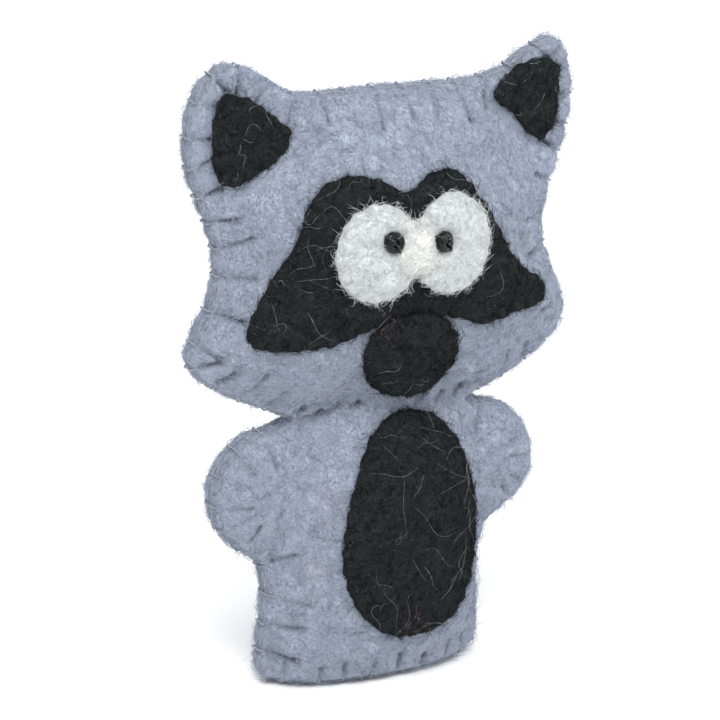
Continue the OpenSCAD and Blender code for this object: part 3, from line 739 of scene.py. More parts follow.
def reach_all_round(rim, middle):
    """How far a rim lies from a middle, as a function of the direction."""
    away = rim - middle
    turn = np.arctan2(away[:, 0], away[:, 1])
    order = np.argsort(turn)
    turns = np.linspace(-np.pi, np.pi, 361)
    reach = np.interp(turns, turn[order], np.linalg.norm(away, axis=1)[order], period=2 * np.pi)
    soft = np.exp(-np.linspace(-2, 2, 11) ** 2)
    reach = np.convolve(np.r_[reach[-6:-1], reach, reach[1:6]], soft / soft.sum(), "valid")

    def share(points):
        away = points - middle
        return np.linalg.norm(away, axis=1) / np.interp(np.arctan2(away[:, 0], away[:, 1]), turns, reach)
    return share


def head_rim(outline):
    """The sewn and folded edge that holds the head's stuffing."""
    head = outline[(outline[:, 1] > NECK) & (past_fold(outline, LEFT) < 0) & (past_fold(outline, RIGHT) < 0)]
    folds = [fold + np.outer(np.linspace(-11.5, 11.5, 40), along) for fold, _, along in map(ear_fold, (LEFT, RIGHT))]
    neck = np.stack([np.linspace(-15, 15, 40), np.full(40, NECK)], 1)
    return np.vstack([head, neck] + folds)


def puff(share, rim, square, round_):
    """How full a stuffed form is, from 1 at its middle to 0 at its rim."""
    return (1 - np.clip(share / rim, 0, 1) ** square) ** round_


def stuffed_rise(points, outline):
    """How far the felt's inside stands in front of the seam plane: head, arms and the finger's pocket."""
    x, z = points.T
    rise = HEAD_PUFF * puff(reach_all_round(head_rim(outline), HEAD_MIDDLE)(points), 0.945, 2.5, 0.72)
    rise[(past_fold(points, LEFT) > 0) | (past_fold(points, RIGHT) > 0) | (z < NECK)] = 0
    for side in (LEFT, RIGHT):
        edge = outline[(side * outline[:, 0] > ARM_X) & (outline[:, 1] > ARM_FOOT) & (outline[:, 1] < 43)]
        shut = np.stack([np.full(20, side * (ARM_X - 2.6)), np.linspace(23.5, 39.5, 20)], 1)
        share = reach_all_round(np.vstack([edge, shut]), ARM_MIDDLE * (side, 1))(points)
        arm = ARM_PUFF * puff(share, 0.93, 2.2, 0.75)
        rise = np.maximum(rise, np.where((side * x > ARM_X - 3) & (z < 43), arm, 0))
    heights, depths = zip(*POCKET_PUFF)
    pocket = sum(np.interp(z + d, heights, depths) for d in (-1.6, -0.6, 0.6, 1.6)) / 4
    levels, halves = zip(*POCKET_HALF)
    pocket = pocket * puff(abs(x), np.interp(z, levels, halves), 2.4, 0.7)
    saddle = 1.5 * np.exp(-((abs(x) - ARM_X + 0.6) / 3.4) ** 2) * puff(abs(z - 31.2), 9.6, 2.4, 0.7)
    return np.where(z < 50, np.maximum(np.maximum(rise, pocket), saddle), rise)


def sewing_marks(points, stitches):
    """What the stitches do to the felt: how much each point is pressed in, and how much painted shade darkens its
    hollow.
    """
    press, dark = np.zeros(len(points)), np.zeros(len(points))
    for stitch in stitches:
        start, hole, deep = stitch["near"], stitch["hole"], stitch["deep"]
        near = np.flatnonzero(abs(points - hole).sum(1) < 13)
        off, t = from_line(points[near], start, hole)
        whole = from_line(points[near], stitch["edge"], hole)[0]
        slit = np.exp(-(off / 0.36) ** 2)
        off = np.linalg.norm(points[near] - hole, axis=1)
        press[near] += deep * (0.75 * slit + 0.42 * np.exp(-(whole / 1.2) ** 2) + 0.5 * np.exp(-(off / 0.42) ** 2))
        # Painted shade: darkest along the slit towards the hole, and round the hole itself.
        dark[near] += deep * (0.95 * slit * np.clip(2.2 * t, 0.15, 1) + 0.3 * np.exp(-(off / 0.4) ** 2))
    return press, np.clip(dark, 0, 1)


BLOWN_STEP = 1.9  # distance between the points of the head's cloth
BLOWN_SCALE = 0.01  # ten times the real size, where the cloth settings suit the mesh
BLOWN_FRAMES = 20
BLOWN_ROOM = (-1.2, 1.6)  # how far the felt may move in and out
CLOTH = {"quality": 6, "mass": 0.25, "vertex_group_mass": "held", "use_pressure": True, "uniform_pressure_force": 5.0,
         "tension_stiffness": 14, "compression_stiffness": 14, "bending_stiffness": 0.35}


def blown_head(outline, stitches):
    """Cloth simulation of the stuffed head: felt held at its seam and stitches and pushed out from inside."""
    rim = head_rim(outline)
    away = rim - HEAD_MIDDLE
    rim = rim[np.argsort(np.arctan2(-away[:, 0], away[:, 1]))]
    rim = smooth_path(rim[::4], BLOWN_STEP, closed=True)
    flat, tris, edge = cut_plan(rim, BLOWN_STEP, rings=(1.6,), seed=4)
    rise = 0.93 * stuffed_rise(flat, outline) + 0.15
    held = edge == 0
    rise[held] = 0
    below = inner_of(held)
    front = np.stack([flat[:, 0], -rise, flat[:, 1]], 1) * BLOWN_SCALE
    back = np.stack([flat[:, 0], rise, flat[:, 1]], 1)[~held] * BLOWN_SCALE
    mesh = bpy.data.meshes.new("head_blown")
    mesh.from_pydata(np.vstack([front, back]).tolist(), [], tris.tolist() + below[tris][:, ::-1].tolist())
    trial = bpy.data.objects.new("head_blown", mesh)
    bpy.context.scene.collection.objects.link(trial)
    tree = flat_tree(flat)
    pins = set(np.flatnonzero(held).tolist())
    for stitch in stitches:
        _, i, gap = tree.find((*stitch["hole"], 0))
        if gap < 1.5:
            pins |= {i, int(below[i])}
    trial.vertex_groups.new(name="held").add(sorted(pins), 1.0, "REPLACE")
    cloth = trial.modifiers.new("Cloth", "CLOTH")
    for key, value in CLOTH.items():
        setattr(cloth.settings, key, value)
    cloth.settings.effector_weights.gravity = 0
    cloth.collision_settings.use_collision = False
    cloth.point_cache.frame_start, cloth.point_cache.frame_end = 1, BLOWN_FRAMES
    scene = bpy.context.scene
    for frame_number in range(1, BLOWN_FRAMES + 1):
        scene.frame_set(frame_number)
    done = trial.evaluated_get(bpy.context.evaluated_depsgraph_get()).to_mesh()
    moved = np.array([v.co for v in done.vertices]) / BLOWN_SCALE
    scene.frame_set(1)
    bpy.data.objects.remove(trial)
    grown = {FRONT: -moved[:len(flat), 1], BACK: moved[below, 1]}
    return tree, {side: relax(np.clip(out - rise, *BLOWN_ROOM), tris, 1) for side, out in grown.items()}


def shared_out(points, tree, values):
    """Values of scattered points carried to others by their nearest four."""
    out = np.zeros(len(points))
    for i, (x, z) in enumerate(points):
        near = tree.find_n((x, z, 0), 4)
        weight = [1 / (n[2] + 0.05) ** 2 for n in near]
        out[i] = sum(w * values[n[1]] for w, n in zip(weight, near)) / sum(weight)
    return out


def dress(piece, body, bend=None, replaces=()):
    """Hides the model's nodes that a piece stands for, and ties it to its body; a piece given a bend keeps no tie and
    only has its place baked into its points.
    """
    if replaces:
        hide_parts(*replaces)
    if bend is None:
        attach(piece, body)
    else:
        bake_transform(piece)
    return piece


def bends():
    """Each soft region's blend: its two bodies and where the felt starts and ends its turn."""
    found = {"core": ("torso", "head", (0, SEAM * MM, NECK_BEND[0] * MM), (0, SEAM * MM, NECK_BEND[1] * MM))}
    for side, word in SIDES:
        fold, out, _ = ear_fold(side)
        ear = [fold + out * d for d in EAR_BEND]
        found[word + "_ear"] = ("head", word + "_ear", *((x * MM, SEAM * MM, z * MM) for x, z in ear))
        found[word + "_arm"] = (
            "torso", word + "_arm", *((side * x * MM, SEAM * MM, ARM_X * MM) for x in ARM_BEND))
    return found


def regions(flat, tris):
    """Which triangles belong to the core, each arm and each ear."""
    middle = flat[tris].mean(1)
    found = {}
    for side, word in SIDES:
        found[word + "_ear"] = past_fold(middle, side) > EAR_BEND[0]
        found[word + "_arm"] = (side * middle[:, 0] > ARM_BEND[0]) & (middle[:, 1] < ARM_TOP) & (middle[:, 1] > 15)
    found["core"] = ~np.any(list(found.values()), axis=0)
    return found


SKIN_NODES = {"core": ("body", "head"), "left_arm": ("left_arm",), "right_arm": ("right_arm",),
              "left_ear": ("left_ear",), "right_ear": ("right_ear",)}


NECK_STITCHES = (-14.2, -11.4, -8.6, -5.2, 6.4, 10.1, 13.6)
BESIDE_STITCH = (-0.7, -0.35, 0.0, 0.35, 0.7)


class PUPPET_OT_skin(bpy.types.Operator):
    """Cuts, stuffs and sews the front and back of grey felt"""
    bl_idname = "puppet.skin"
    bl_label = "Grey felt"

    def execute(self, context):
        seed = sizes().seed
        outline, stitches = sewn_outline()
        made.update(outline=outline, stitches=stitches)
        cuts = [((side * ARM_BEND[0], 15.5), (side * ARM_BEND[0], 43.5)) for side in (LEFT, RIGHT)]
        for fold, out, along in map(ear_fold, (LEFT, RIGHT)):
            start = fold + out * EAR_BEND[0]
            cuts.append((start - 16 * along, start + 16 * along))
        blown = blown_head(outline, stitches)
        rng = np.random.default_rng(seed + 1)
        for facing, word in FACES:
            marks = list(stitches)
            if facing == BACK:
                marks = [dict(s, hole=s["hole"] + rng.uniform(-0.5, 0.5, 2), near=s["edge"]) for s in stitches]
            marks += self.hem_marks(rng) + self.neck_marks(rng)
            made[word + "_marks"] = marks
            extra = np.vstack([
                s["near"] + np.outer(np.linspace(0, 1, 9), s["hole"] - s["near"]) + off
                for s in marks for off in self.beside(s)])
            plan = cut_plan(outline, sizes().mesh_step / MM, extra=extra, cuts=cuts, seed=seed + facing)
            made[word] = self.stuffed(plan, facing, word, marks, blown)
            self.pieces(word)
        return {"FINISHED"}

    def stuffed(self, plan, facing, word, marks, blown):
        """One grey felt over its stuffing, pressed in by its stitches."""
        flat, tris, edge = plan
        rise = stuffed_rise(flat, made["outline"])
        if blown:
            tree, grown = blown
            swell = shared_out(flat, tree, grown[facing])
            rise = np.maximum(0, rise + relax(swell * np.clip(rise / 1.5, 0, 1), tris, 2))
        swell, hollow = rim_shape(edge, sizes().felt / MM, 0.95, 0.12)
        press, dark = sewing_marks(flat, marks)
        press *= np.clip(edge / 0.5, 0.25, 1)
        wavy = lumps(flat, 0.33, 0.16, 3.0 * facing) + lumps(flat, 0.9, 0.09, 9.0 * facing)
        base = rise + swell
        outer = base + (wavy - press) * np.clip(edge / 0.8, 0, 1)
        inner = np.minimum(rise + hollow + 0.06, outer - 0.4 * (edge > 0))
        made[word + "_base"] = Felt(plan, relax(base, tris, 2), inner, facing)
        # The outer felt carries the painted shade of its stitch grooves, hem and neck stitches.
        return Felt(plan, outer, inner, facing, dark)

    def pieces(self, word):
        sheet, pieces = made[word], {}
        flat, tris, _ = sheet.plan
        for region, chosen in regions(flat, tris).items():
            made[word + "_" + region] = chosen
            pieces[region] = piece = sheet.piece(f"{region}_{word}_skin", finishes()["grey_felt"], chosen)
            nodes = [f"{node}_{word}_felt" for node in SKIN_NODES[region]]
            dress(piece, None, bends()[region], nodes)
        arms = [pieces["left_arm"], pieces["right_arm"]]
        for region, piece in pieces.items():
            part = tris[made[word + "_" + region]]
            if piece not in arms:
                plan_area(flat, part) * MM * MM
                arms if region == "core" else ()

    @staticmethod
    def beside(stitch):
        """Small steps to either side of a stitch, so its groove has points to bend on."""
        d = stitch["hole"] - stitch["near"]
        across = np.array((-d[1], d[0])) / np.linalg.norm(d)
        return [across * k for k in BESIDE_STITCH]

    @staticmethod
    def hem_marks(rng):
        """Overcast stitches up from the hem."""
        marks = []
        for x in np.arange(-16.4, 17, 4.6) + rng.uniform(-0.5, 0.5, 8):
            lean = rng.uniform(-0.5, 0.5)
            marks.append({"edge": np.array((x, 0.0)), "near": np.array((x, 0.5)), "hem": True,
                          "hole": np.array((x + lean, rng.uniform(2.2, 3.4))), "deep": rng.uniform(0.5, 0.9)})
        return marks

    @staticmethod
    def neck_marks(rng):
        """Short stitches along the neck, where the head is sewn off."""
        marks = []
        for x in NECK_STITCHES:
            z = 43.6 + rng.uniform(-0.5, 0.6)
            a = np.array((x - rng.uniform(0.5, 0.9), z - rng.uniform(0, 0.5)))
            marks.append({"edge": a, "near": a, "neck": True, "deep": rng.uniform(0.55, 0.9),
                          "hole": np.array((x + rng.uniform(0.5, 0.9), z + rng.uniform(0.2, 0.7)))})
        return marks


class PUPPET_OT_stuffing(bpy.types.Operator):
    """Fills the head and the arms with wadding"""
    bl_idname = "puppet.stuffing"
    bl_label = "Wadding"

    def execute(self, context):
        for body in ("head", "left_arm", "right_arm"):
            self.fill(body)
        return {"FINISHED"}

    def fill(self, body):
        """One pad of wadding, as wide as the room between the two felts."""
        side = {"left_arm": LEFT, "right_arm": RIGHT}.get(body, 0)
        middle = ARM_MIDDLE * (side, 1) if side else HEAD_MIDDLE
        rim = []
        for turn in np.linspace(0, 2 * np.pi, 48, endpoint=False):
            ray = middle + np.outer(np.arange(0.3, 40, 0.3), (math.cos(turn), math.sin(turn)))
            room = stuffed_rise(ray, made["outline"]) > (0.35 if side else 0.9)
            room &= (side * ray[:, 0] > ARM_X) & (ray[:, 1] < 43) if side else ray[:, 1] > NECK
            rim.append(ray[np.flatnonzero(room)[-1]])
        plan = cut_plan(smooth_path(rim, 1.2, closed=True), 1.5, rings=(0.6,), seed=9)
        flat, tris, edge = plan
        thick = np.maximum(0, stuffed_rise(flat, made["outline"]) - 0.45)
        thick = thick * 0.9 * np.clip(edge / 1.2, 0, 1) ** 0.5 + lumps(flat, 0.4, 0.2) * (edge > 0)
        thick = np.where(edge > 0, np.maximum(thick, 0.05), 0)
        wad = Felt(plan, thick, -thick, FRONT)
        piece = wad.piece(f"{body}_wadding", finishes()["wadding"])
        dress(piece, body, replaces=[f"{body}_stuffing"])

# ---------------------------------------------------------------- patches

MASK = ((-26.5, 58.5), (-25.3, 62.5), (-22.0, 68.5), (-19.3, 73.5), (-17.5, 78.5), (-14.8, 81.6), (-11.0, 83.0),
        (-6.0, 82.3), (-1.0, 79.8), (3.5, 82.3), (8.0, 82.0), (11.5, 78.5), (15.0, 73.7), (18.6, 68.2), (22.0, 64.5),
        (26.3, 61.5), (25.7, 58.2), (20.0, 57.6), (14.0, 56.7), (8.8, 58.5), (0.8, 59.6), (-6.5, 58.5), (-12.0, 56.6),
        (-18.0, 56.0), (-24.0, 56.6))
NOSE = ((-7.2, 54.0), (-6.4, 57.6), (-3.8, 59.9), (0.6, 60.5), (4.8, 59.7), (8.0, 57.3), (9.5, 53.7), (9.3, 50.0),
        (7.2, 47.2), (4.0, 45.8), (0.0, 46.0), (-3.8, 47.6), (-6.3, 50.7))
BELLY = ((-9.7, 19.0), (-9.8, 25.0), (-8.3, 32.0), (-5.4, 38.0), (-1.3, 41.6), (3.3, 42.8), (7.8, 41.7), (11.5, 38.0),
         (14.0, 32.5), (15.7, 26.0), (15.9, 19.5), (14.7, 13.5), (11.8, 9.2), (7.0, 7.1), (2.0, 6.8), (-3.0, 8.6),
         (-7.2, 12.8))
EAR_PATCH = {
    RIGHT: ((-29.9, 95.8), (-31.2, 92.0), (-31.2, 87.0), (-30.2, 83.0), (-27.0, 81.5), (-22.5, 83.7), (-19.3, 86.3),
            (-17.9, 89.3), (-20.5, 91.7), (-23.5, 94.0), (-26.5, 95.6)),
    LEFT: ((18.3, 93.3), (17.9, 91.0), (20.5, 88.6), (23.7, 85.3), (26.5, 83.3), (28.7, 85.3), (29.6, 90.0),
           (29.1, 95.2), (26.0, 96.7), (22.0, 95.8)),
}
EYES = {RIGHT: ((-6.9, 71.1), (7.1, 7.7)), LEFT: ((5.9, 71.4), (7.1, 7.9))}
BRIDGE = ((-4.6, 71.0), (-3.8, 73.8), (-2.2, 75.4), (-0.4, 75.9), (1.3, 75.4), (2.7, 73.8), (3.3, 71.2), (2.7, 68.4),
          (1.2, 66.8), (-0.3, 66.4), (-2.2, 66.9), (-3.9, 68.4))
NOSE_MIDDLE, NOSE_HALF = (1.1, 52.8), (8.5, 8.0)
CHIN_ROOM = 5.4  # the nose's lower edge stands this far out, so that the belly patch fits behind it in a nod
JUNCTION = -0.3  # where the two whites of the eyes meet
PUPIL = {RIGHT: (-4.9, 73.0), LEFT: (3.9, 72.2)}
PATCH_RINGS = (0.2, 0.5, 0.9)


def scalloped(points, step, pitch, depth, seed):
    """A patch's outline and its stitches, which pull the edge in."""
    outline = smooth_path(points, step, closed=True)
    ahead = np.roll(outline, -1, 0) - outline
    if (outline[:, 0] * ahead[:, 1] - outline[:, 1] * ahead[:, 0]).sum() < 0:
        outline = outline[::-1].copy()
    inward = inward_of(outline)
    rng = np.random.default_rng(seed)
    stitches, pull, spot = [], np.zeros(len(outline)), 1
    while spot < len(outline) - 2:
        deep = rng.uniform(0.5, 1.1)
        away = (np.arange(len(outline)) - spot) * step
        pull += depth * deep * np.exp(-(away / (0.22 * pitch)) ** 2)
        stitches.append({
            "edge": outline[spot] + inward[spot] * 0.12, "near": outline[spot] - inward[spot] * 0.4,
            "hole": outline[spot] + inward[spot] * rng.uniform(0.9, 1.4), "deep": deep * 0.7})
        spot += max(2, round(pitch * rng.uniform(0.85, 1.15) / step))
    rough = lumps(outline, 0.7, 0.3, seed) + lumps(outline, 1.9, 0.14, seed)
    return outline + inward * (pull + rough)[:, None], stitches


def height_on(points, trees):
    """How far in front of the seam plane the surfaces beneath each point reach."""
    height = np.full(len(points), -1.0)
    for i, (x, z) in enumerate(points):
        for tree in trees:
            hit = tree.ray_cast(Vector((x, -60, z)), Vector((0, 1, 0)))[0]
            if hit is not None:
                height[i] = max(height[i], SEAM - hit.y)
    return np.where(height < 0, height[height >= 0].mean(), height)


class PUPPET_OT_patches(bpy.types.Operator):
    """Lays the mask, eyes, nose, belly and ear patches on the grey felt"""
    bl_idname = "puppet.patches"
    bl_label = "Felt patches"

    def execute(self, context):
        thick = sizes().patch / MM
        skin = made["front_base"].tree()
        made["patches"] = {}
        self.patch("belly_patch", BELLY, [skin], thick, "torso", seed=21)
        for side, word in SIDES:
            name, bend = word + "_ear_patch", bends()[word + "_ear"]
            self.patch(name, EAR_PATCH[side], [skin], thick * 0.9, None, 31 + side, bend)
        mask = self.patch("eye_mask", MASK, [skin], thick, "head", seed=41).tree()
        whites = [self.eye(side, word, [skin, mask], thick) for side, word in SIDES]
        self.bridge([skin, mask] + [white.tree() for white in whites])
        self.nose([skin, mask])
        return {"FINISHED"}

    def keep(self, name, sheet, marks, body, slot, ground, bend=None, padded=None):
        piece = sheet.piece(name + "_felt", finishes()[slot])
        flat, tris, _ = sheet.plan
        if padded is None:
            plan_area(flat, tris) * MM * MM
        dress(piece, body, bend, [name])
        made["patches"][name] = (sheet, marks)
        return sheet

    @staticmethod
    def laid(plan, base, swell, hollow, relief, fade, least, lift, dark):
        """Felt over a base, with its relief fading out to the rim and never thinner than least; dark is painted shade
        for its hollows.
        """
        edge = plan[2]
        outer = base + lift + swell + relief * np.clip(edge / fade, 0, 1)
        inner = np.minimum(base + 0.02 + hollow * 0.6, outer - 0.15 * (edge > 0))
        return Felt(plan, np.maximum(outer, base + least), inner, FRONT, dark)

    def patch(self, name, points, trees, thick, body, seed, bend=None):
        """A flat dark patch with whip stitches round it."""
        outline, marks = scalloped(points, 0.42, 3.1, 0.26, seed)
        plan = cut_plan(outline, 0.62, rings=PATCH_RINGS, seed=seed)
        flat, tris, edge = plan
        base = relax(height_on(flat, trees), tris, 3)
        swell, hollow = rim_shape(edge, thick * (0.74 + 0.26 * np.clip(edge / 1.8, 0, 1)), 0.7)
        press, dark = sewing_marks(flat, marks)
        wavy = lumps(flat, 0.5, 0.12, seed) + lumps(flat, 1.3, 0.08, seed)
        relief = wavy - 0.55 * np.minimum(press, 1.0)
        # Painted shade in the whip stitch grooves.
        sheet = self.laid(plan, base, swell, hollow, relief, 0.6, 0.25, 0.12, 0.6 * dark)
        ground = "core_front_skin" if bend is None else name.replace("_patch", "_front_skin")
        return self.keep(name, sheet, marks, body, "black_felt", ground, bend)

    def eye(self, side, word, trees, thick):
        """A domed white, cut off where it meets the other and sunk in at its bead."""
        middle, half = np.array(EYES[side])
        turns = np.linspace(0, 2 * np.pi, 22, endpoint=False)
        ring = middle + half * np.stack([np.cos(turns), np.sin(turns)], 1)
        meet = JUNCTION + side * 0.05
        ring[:, 0] = np.maximum(ring[:, 0], meet) if side == LEFT else np.minimum(ring[:, 0], meet)
        outline, marks = scalloped(ring, 0.4, 2.7, 0.16, 51 + side)
        plan = cut_plan(outline, 0.55, rings=PATCH_RINGS, seed=51 + side)
        flat, tris, edge = plan
        base = relax(height_on(flat, trees), tris, 6)
        dome = 0.55 * np.clip(1 - np.linalg.norm((flat - middle) / half, axis=1) ** 2.6, 0, 1)
        sunk = np.exp(-(np.linalg.norm(flat - PUPIL[side], axis=1) / 2.2) ** 4)
        swell, hollow = rim_shape(edge, thick, 0.8)
        press, dark = sewing_marks(flat, marks)
        wavy = lumps(flat, 0.45, 0.16, 5 * side) + lumps(flat, 1.1, 0.1, 5 * side)
        relief = dome + wavy - 0.5 * press - 0.75 * sunk
        # Painted shade in the stitch grooves and in the hollow round the bead.
        sheet = self.laid(plan, base, swell, hollow, relief, 0.7, 0.2, 0.1, 0.25 * dark + 0.2 * sunk)
        return self.keep(f"{word}_eye_white", sheet, marks, "head", "white_felt", "eye_mask_felt")
    def bridge(self, trees):
        """The smooth tuft of wool felted over the join of the eyes."""
        outline, _ = scalloped(BRIDGE, 0.4, 90.0, 0.0, 61)
        plan = cut_plan(outline, 0.5, rings=(0.25, 0.6, 1.0), seed=61)
        flat, tris, edge = plan
        bare = height_on(flat, trees)
        fade = np.clip(edge / 2.6, 0, 1)
        fade = fade * fade * (3 - 2 * fade)
        crown = relax(relax(bare, tris, 9, above=True), tris, 14)
        base = relax(bare, tris, 2) * (1 - fade) + crown * fade
        outer = base - 0.12 + 0.95 * fade + lumps(flat, 0.6, 0.06) * fade
        inner = np.minimum(base - 0.3, outer - 0.1 * (edge > 0))
        sheet = Felt(plan, outer, inner, FRONT)
        piece = sheet.piece("eye_bridge", finishes()["cream"])
        dress(piece, "head")
        made["patches"]["eye_bridge"] = (sheet, [])

    def nose(self, trees):
        """The padded nose over the lower edge of the mask."""
        outline, marks = scalloped(NOSE, 0.4, 3.0, 0.22, 71)
        plan = cut_plan(outline, 0.55, rings=PATCH_RINGS, seed=71)
        flat, tris, edge = plan
        base = relax(relax(height_on(flat, trees), tris, 2, above=True), tris, 10)
        base = np.maximum(base, CHIN_ROOM)
        share = np.linalg.norm((flat - NOSE_MIDDLE) / NOSE_HALF, axis=1)
        dome = 1.75 * np.clip(1 - share**2.3, 0, 1) ** 0.85
        swell, hollow = rim_shape(edge, 1.5, 1.0)
        press, dark = sewing_marks(flat, marks)
        wavy = lumps(flat, 0.45, 0.2, 71) + lumps(flat, 1.2, 0.1, 71)
        # Painted shade in the whip stitch grooves.
        sheet = self.laid(plan, base, swell, hollow, dome + wavy - 0.5 * press, 0.7, 0.3, 0.1, 0.5 * dark)
        self.keep("nose_pad", sheet, marks, "head", "black_felt", "core_front_skin", padded=0.8)


class PUPPET_OT_beads(bpy.types.Operator):
    """Turns and sews on the two pupil beads"""
    bl_idname = "puppet.beads"
    bl_label = "Pupil beads"

    def execute(self, context):
        made["beads"] = []
        for side, word in SIDES:
            low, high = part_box(word + "_pupil_bead")
            radius, length = (high.x - low.x) / 2 / MM, (high.y - low.y) / MM
            x, z = PUPIL[side]
            seat = height_on(np.array([PUPIL[side]]), [made["patches"][f"{word}_eye_white"][0].tree()])[0] - 0.15
            lean = Vector((0.28 * side + 0.22, -1.0, 0.14)).normalized()
            centre = np.array((x, SEAM - seat - length * 0.32, z))
            made["beads"].append((centre, np.array(lean), radius, length))
            self.turned(word, centre, lean, radius, length)
        return {"FINISHED"}

    @staticmethod
    def turned(word, centre, lean, radius, length):
        """A bead turned round its hole: a rounded ring, rolled in at the hole."""
        hole, rings, around = 0.3 * radius, 22, 40
        turn = np.linspace(0, 2 * np.pi, rings, endpoint=False)
        middle, wide = (radius + hole) / 2, (radius - hole) / 2
        out, along = (np.sign(bow) * abs(bow) ** 0.8 for bow in (np.cos(turn), np.sin(turn)))
        r, h = middle + wide * out, length / 2 * along
        side = Vector((0, 0, 1)).cross(lean).normalized()
        up = lean.cross(side)
        angle = np.linspace(0, 2 * np.pi, around, endpoint=False)
        spoke = np.cos(angle)[:, None] * np.array(side) + np.sin(angle)[:, None] * np.array(up)
        points = (centre + r[None, :, None] * spoke[:, None, :] + h[None, :, None] * np.array(lean)).reshape(-1, 3)
        quads = []
        for i in range(around):
            row, after = i * rings, (i + 1) % around * rings
            quads += [(row + k, after + k, after + (k + 1) % rings, row + (k + 1) % rings) for k in range(rings)]
        piece = new_piece(f"{word}_pupil", points, [quads], finishes()["bead"])
        dress(piece, "head", replaces=[f"{word}_pupil_bead"])

HEM_TURN = ((0.25, -0.12), (1.2, -0.22), (2.1, 0.3), (2.3, 1.2))  # how deep and how low a hem stitch turns under
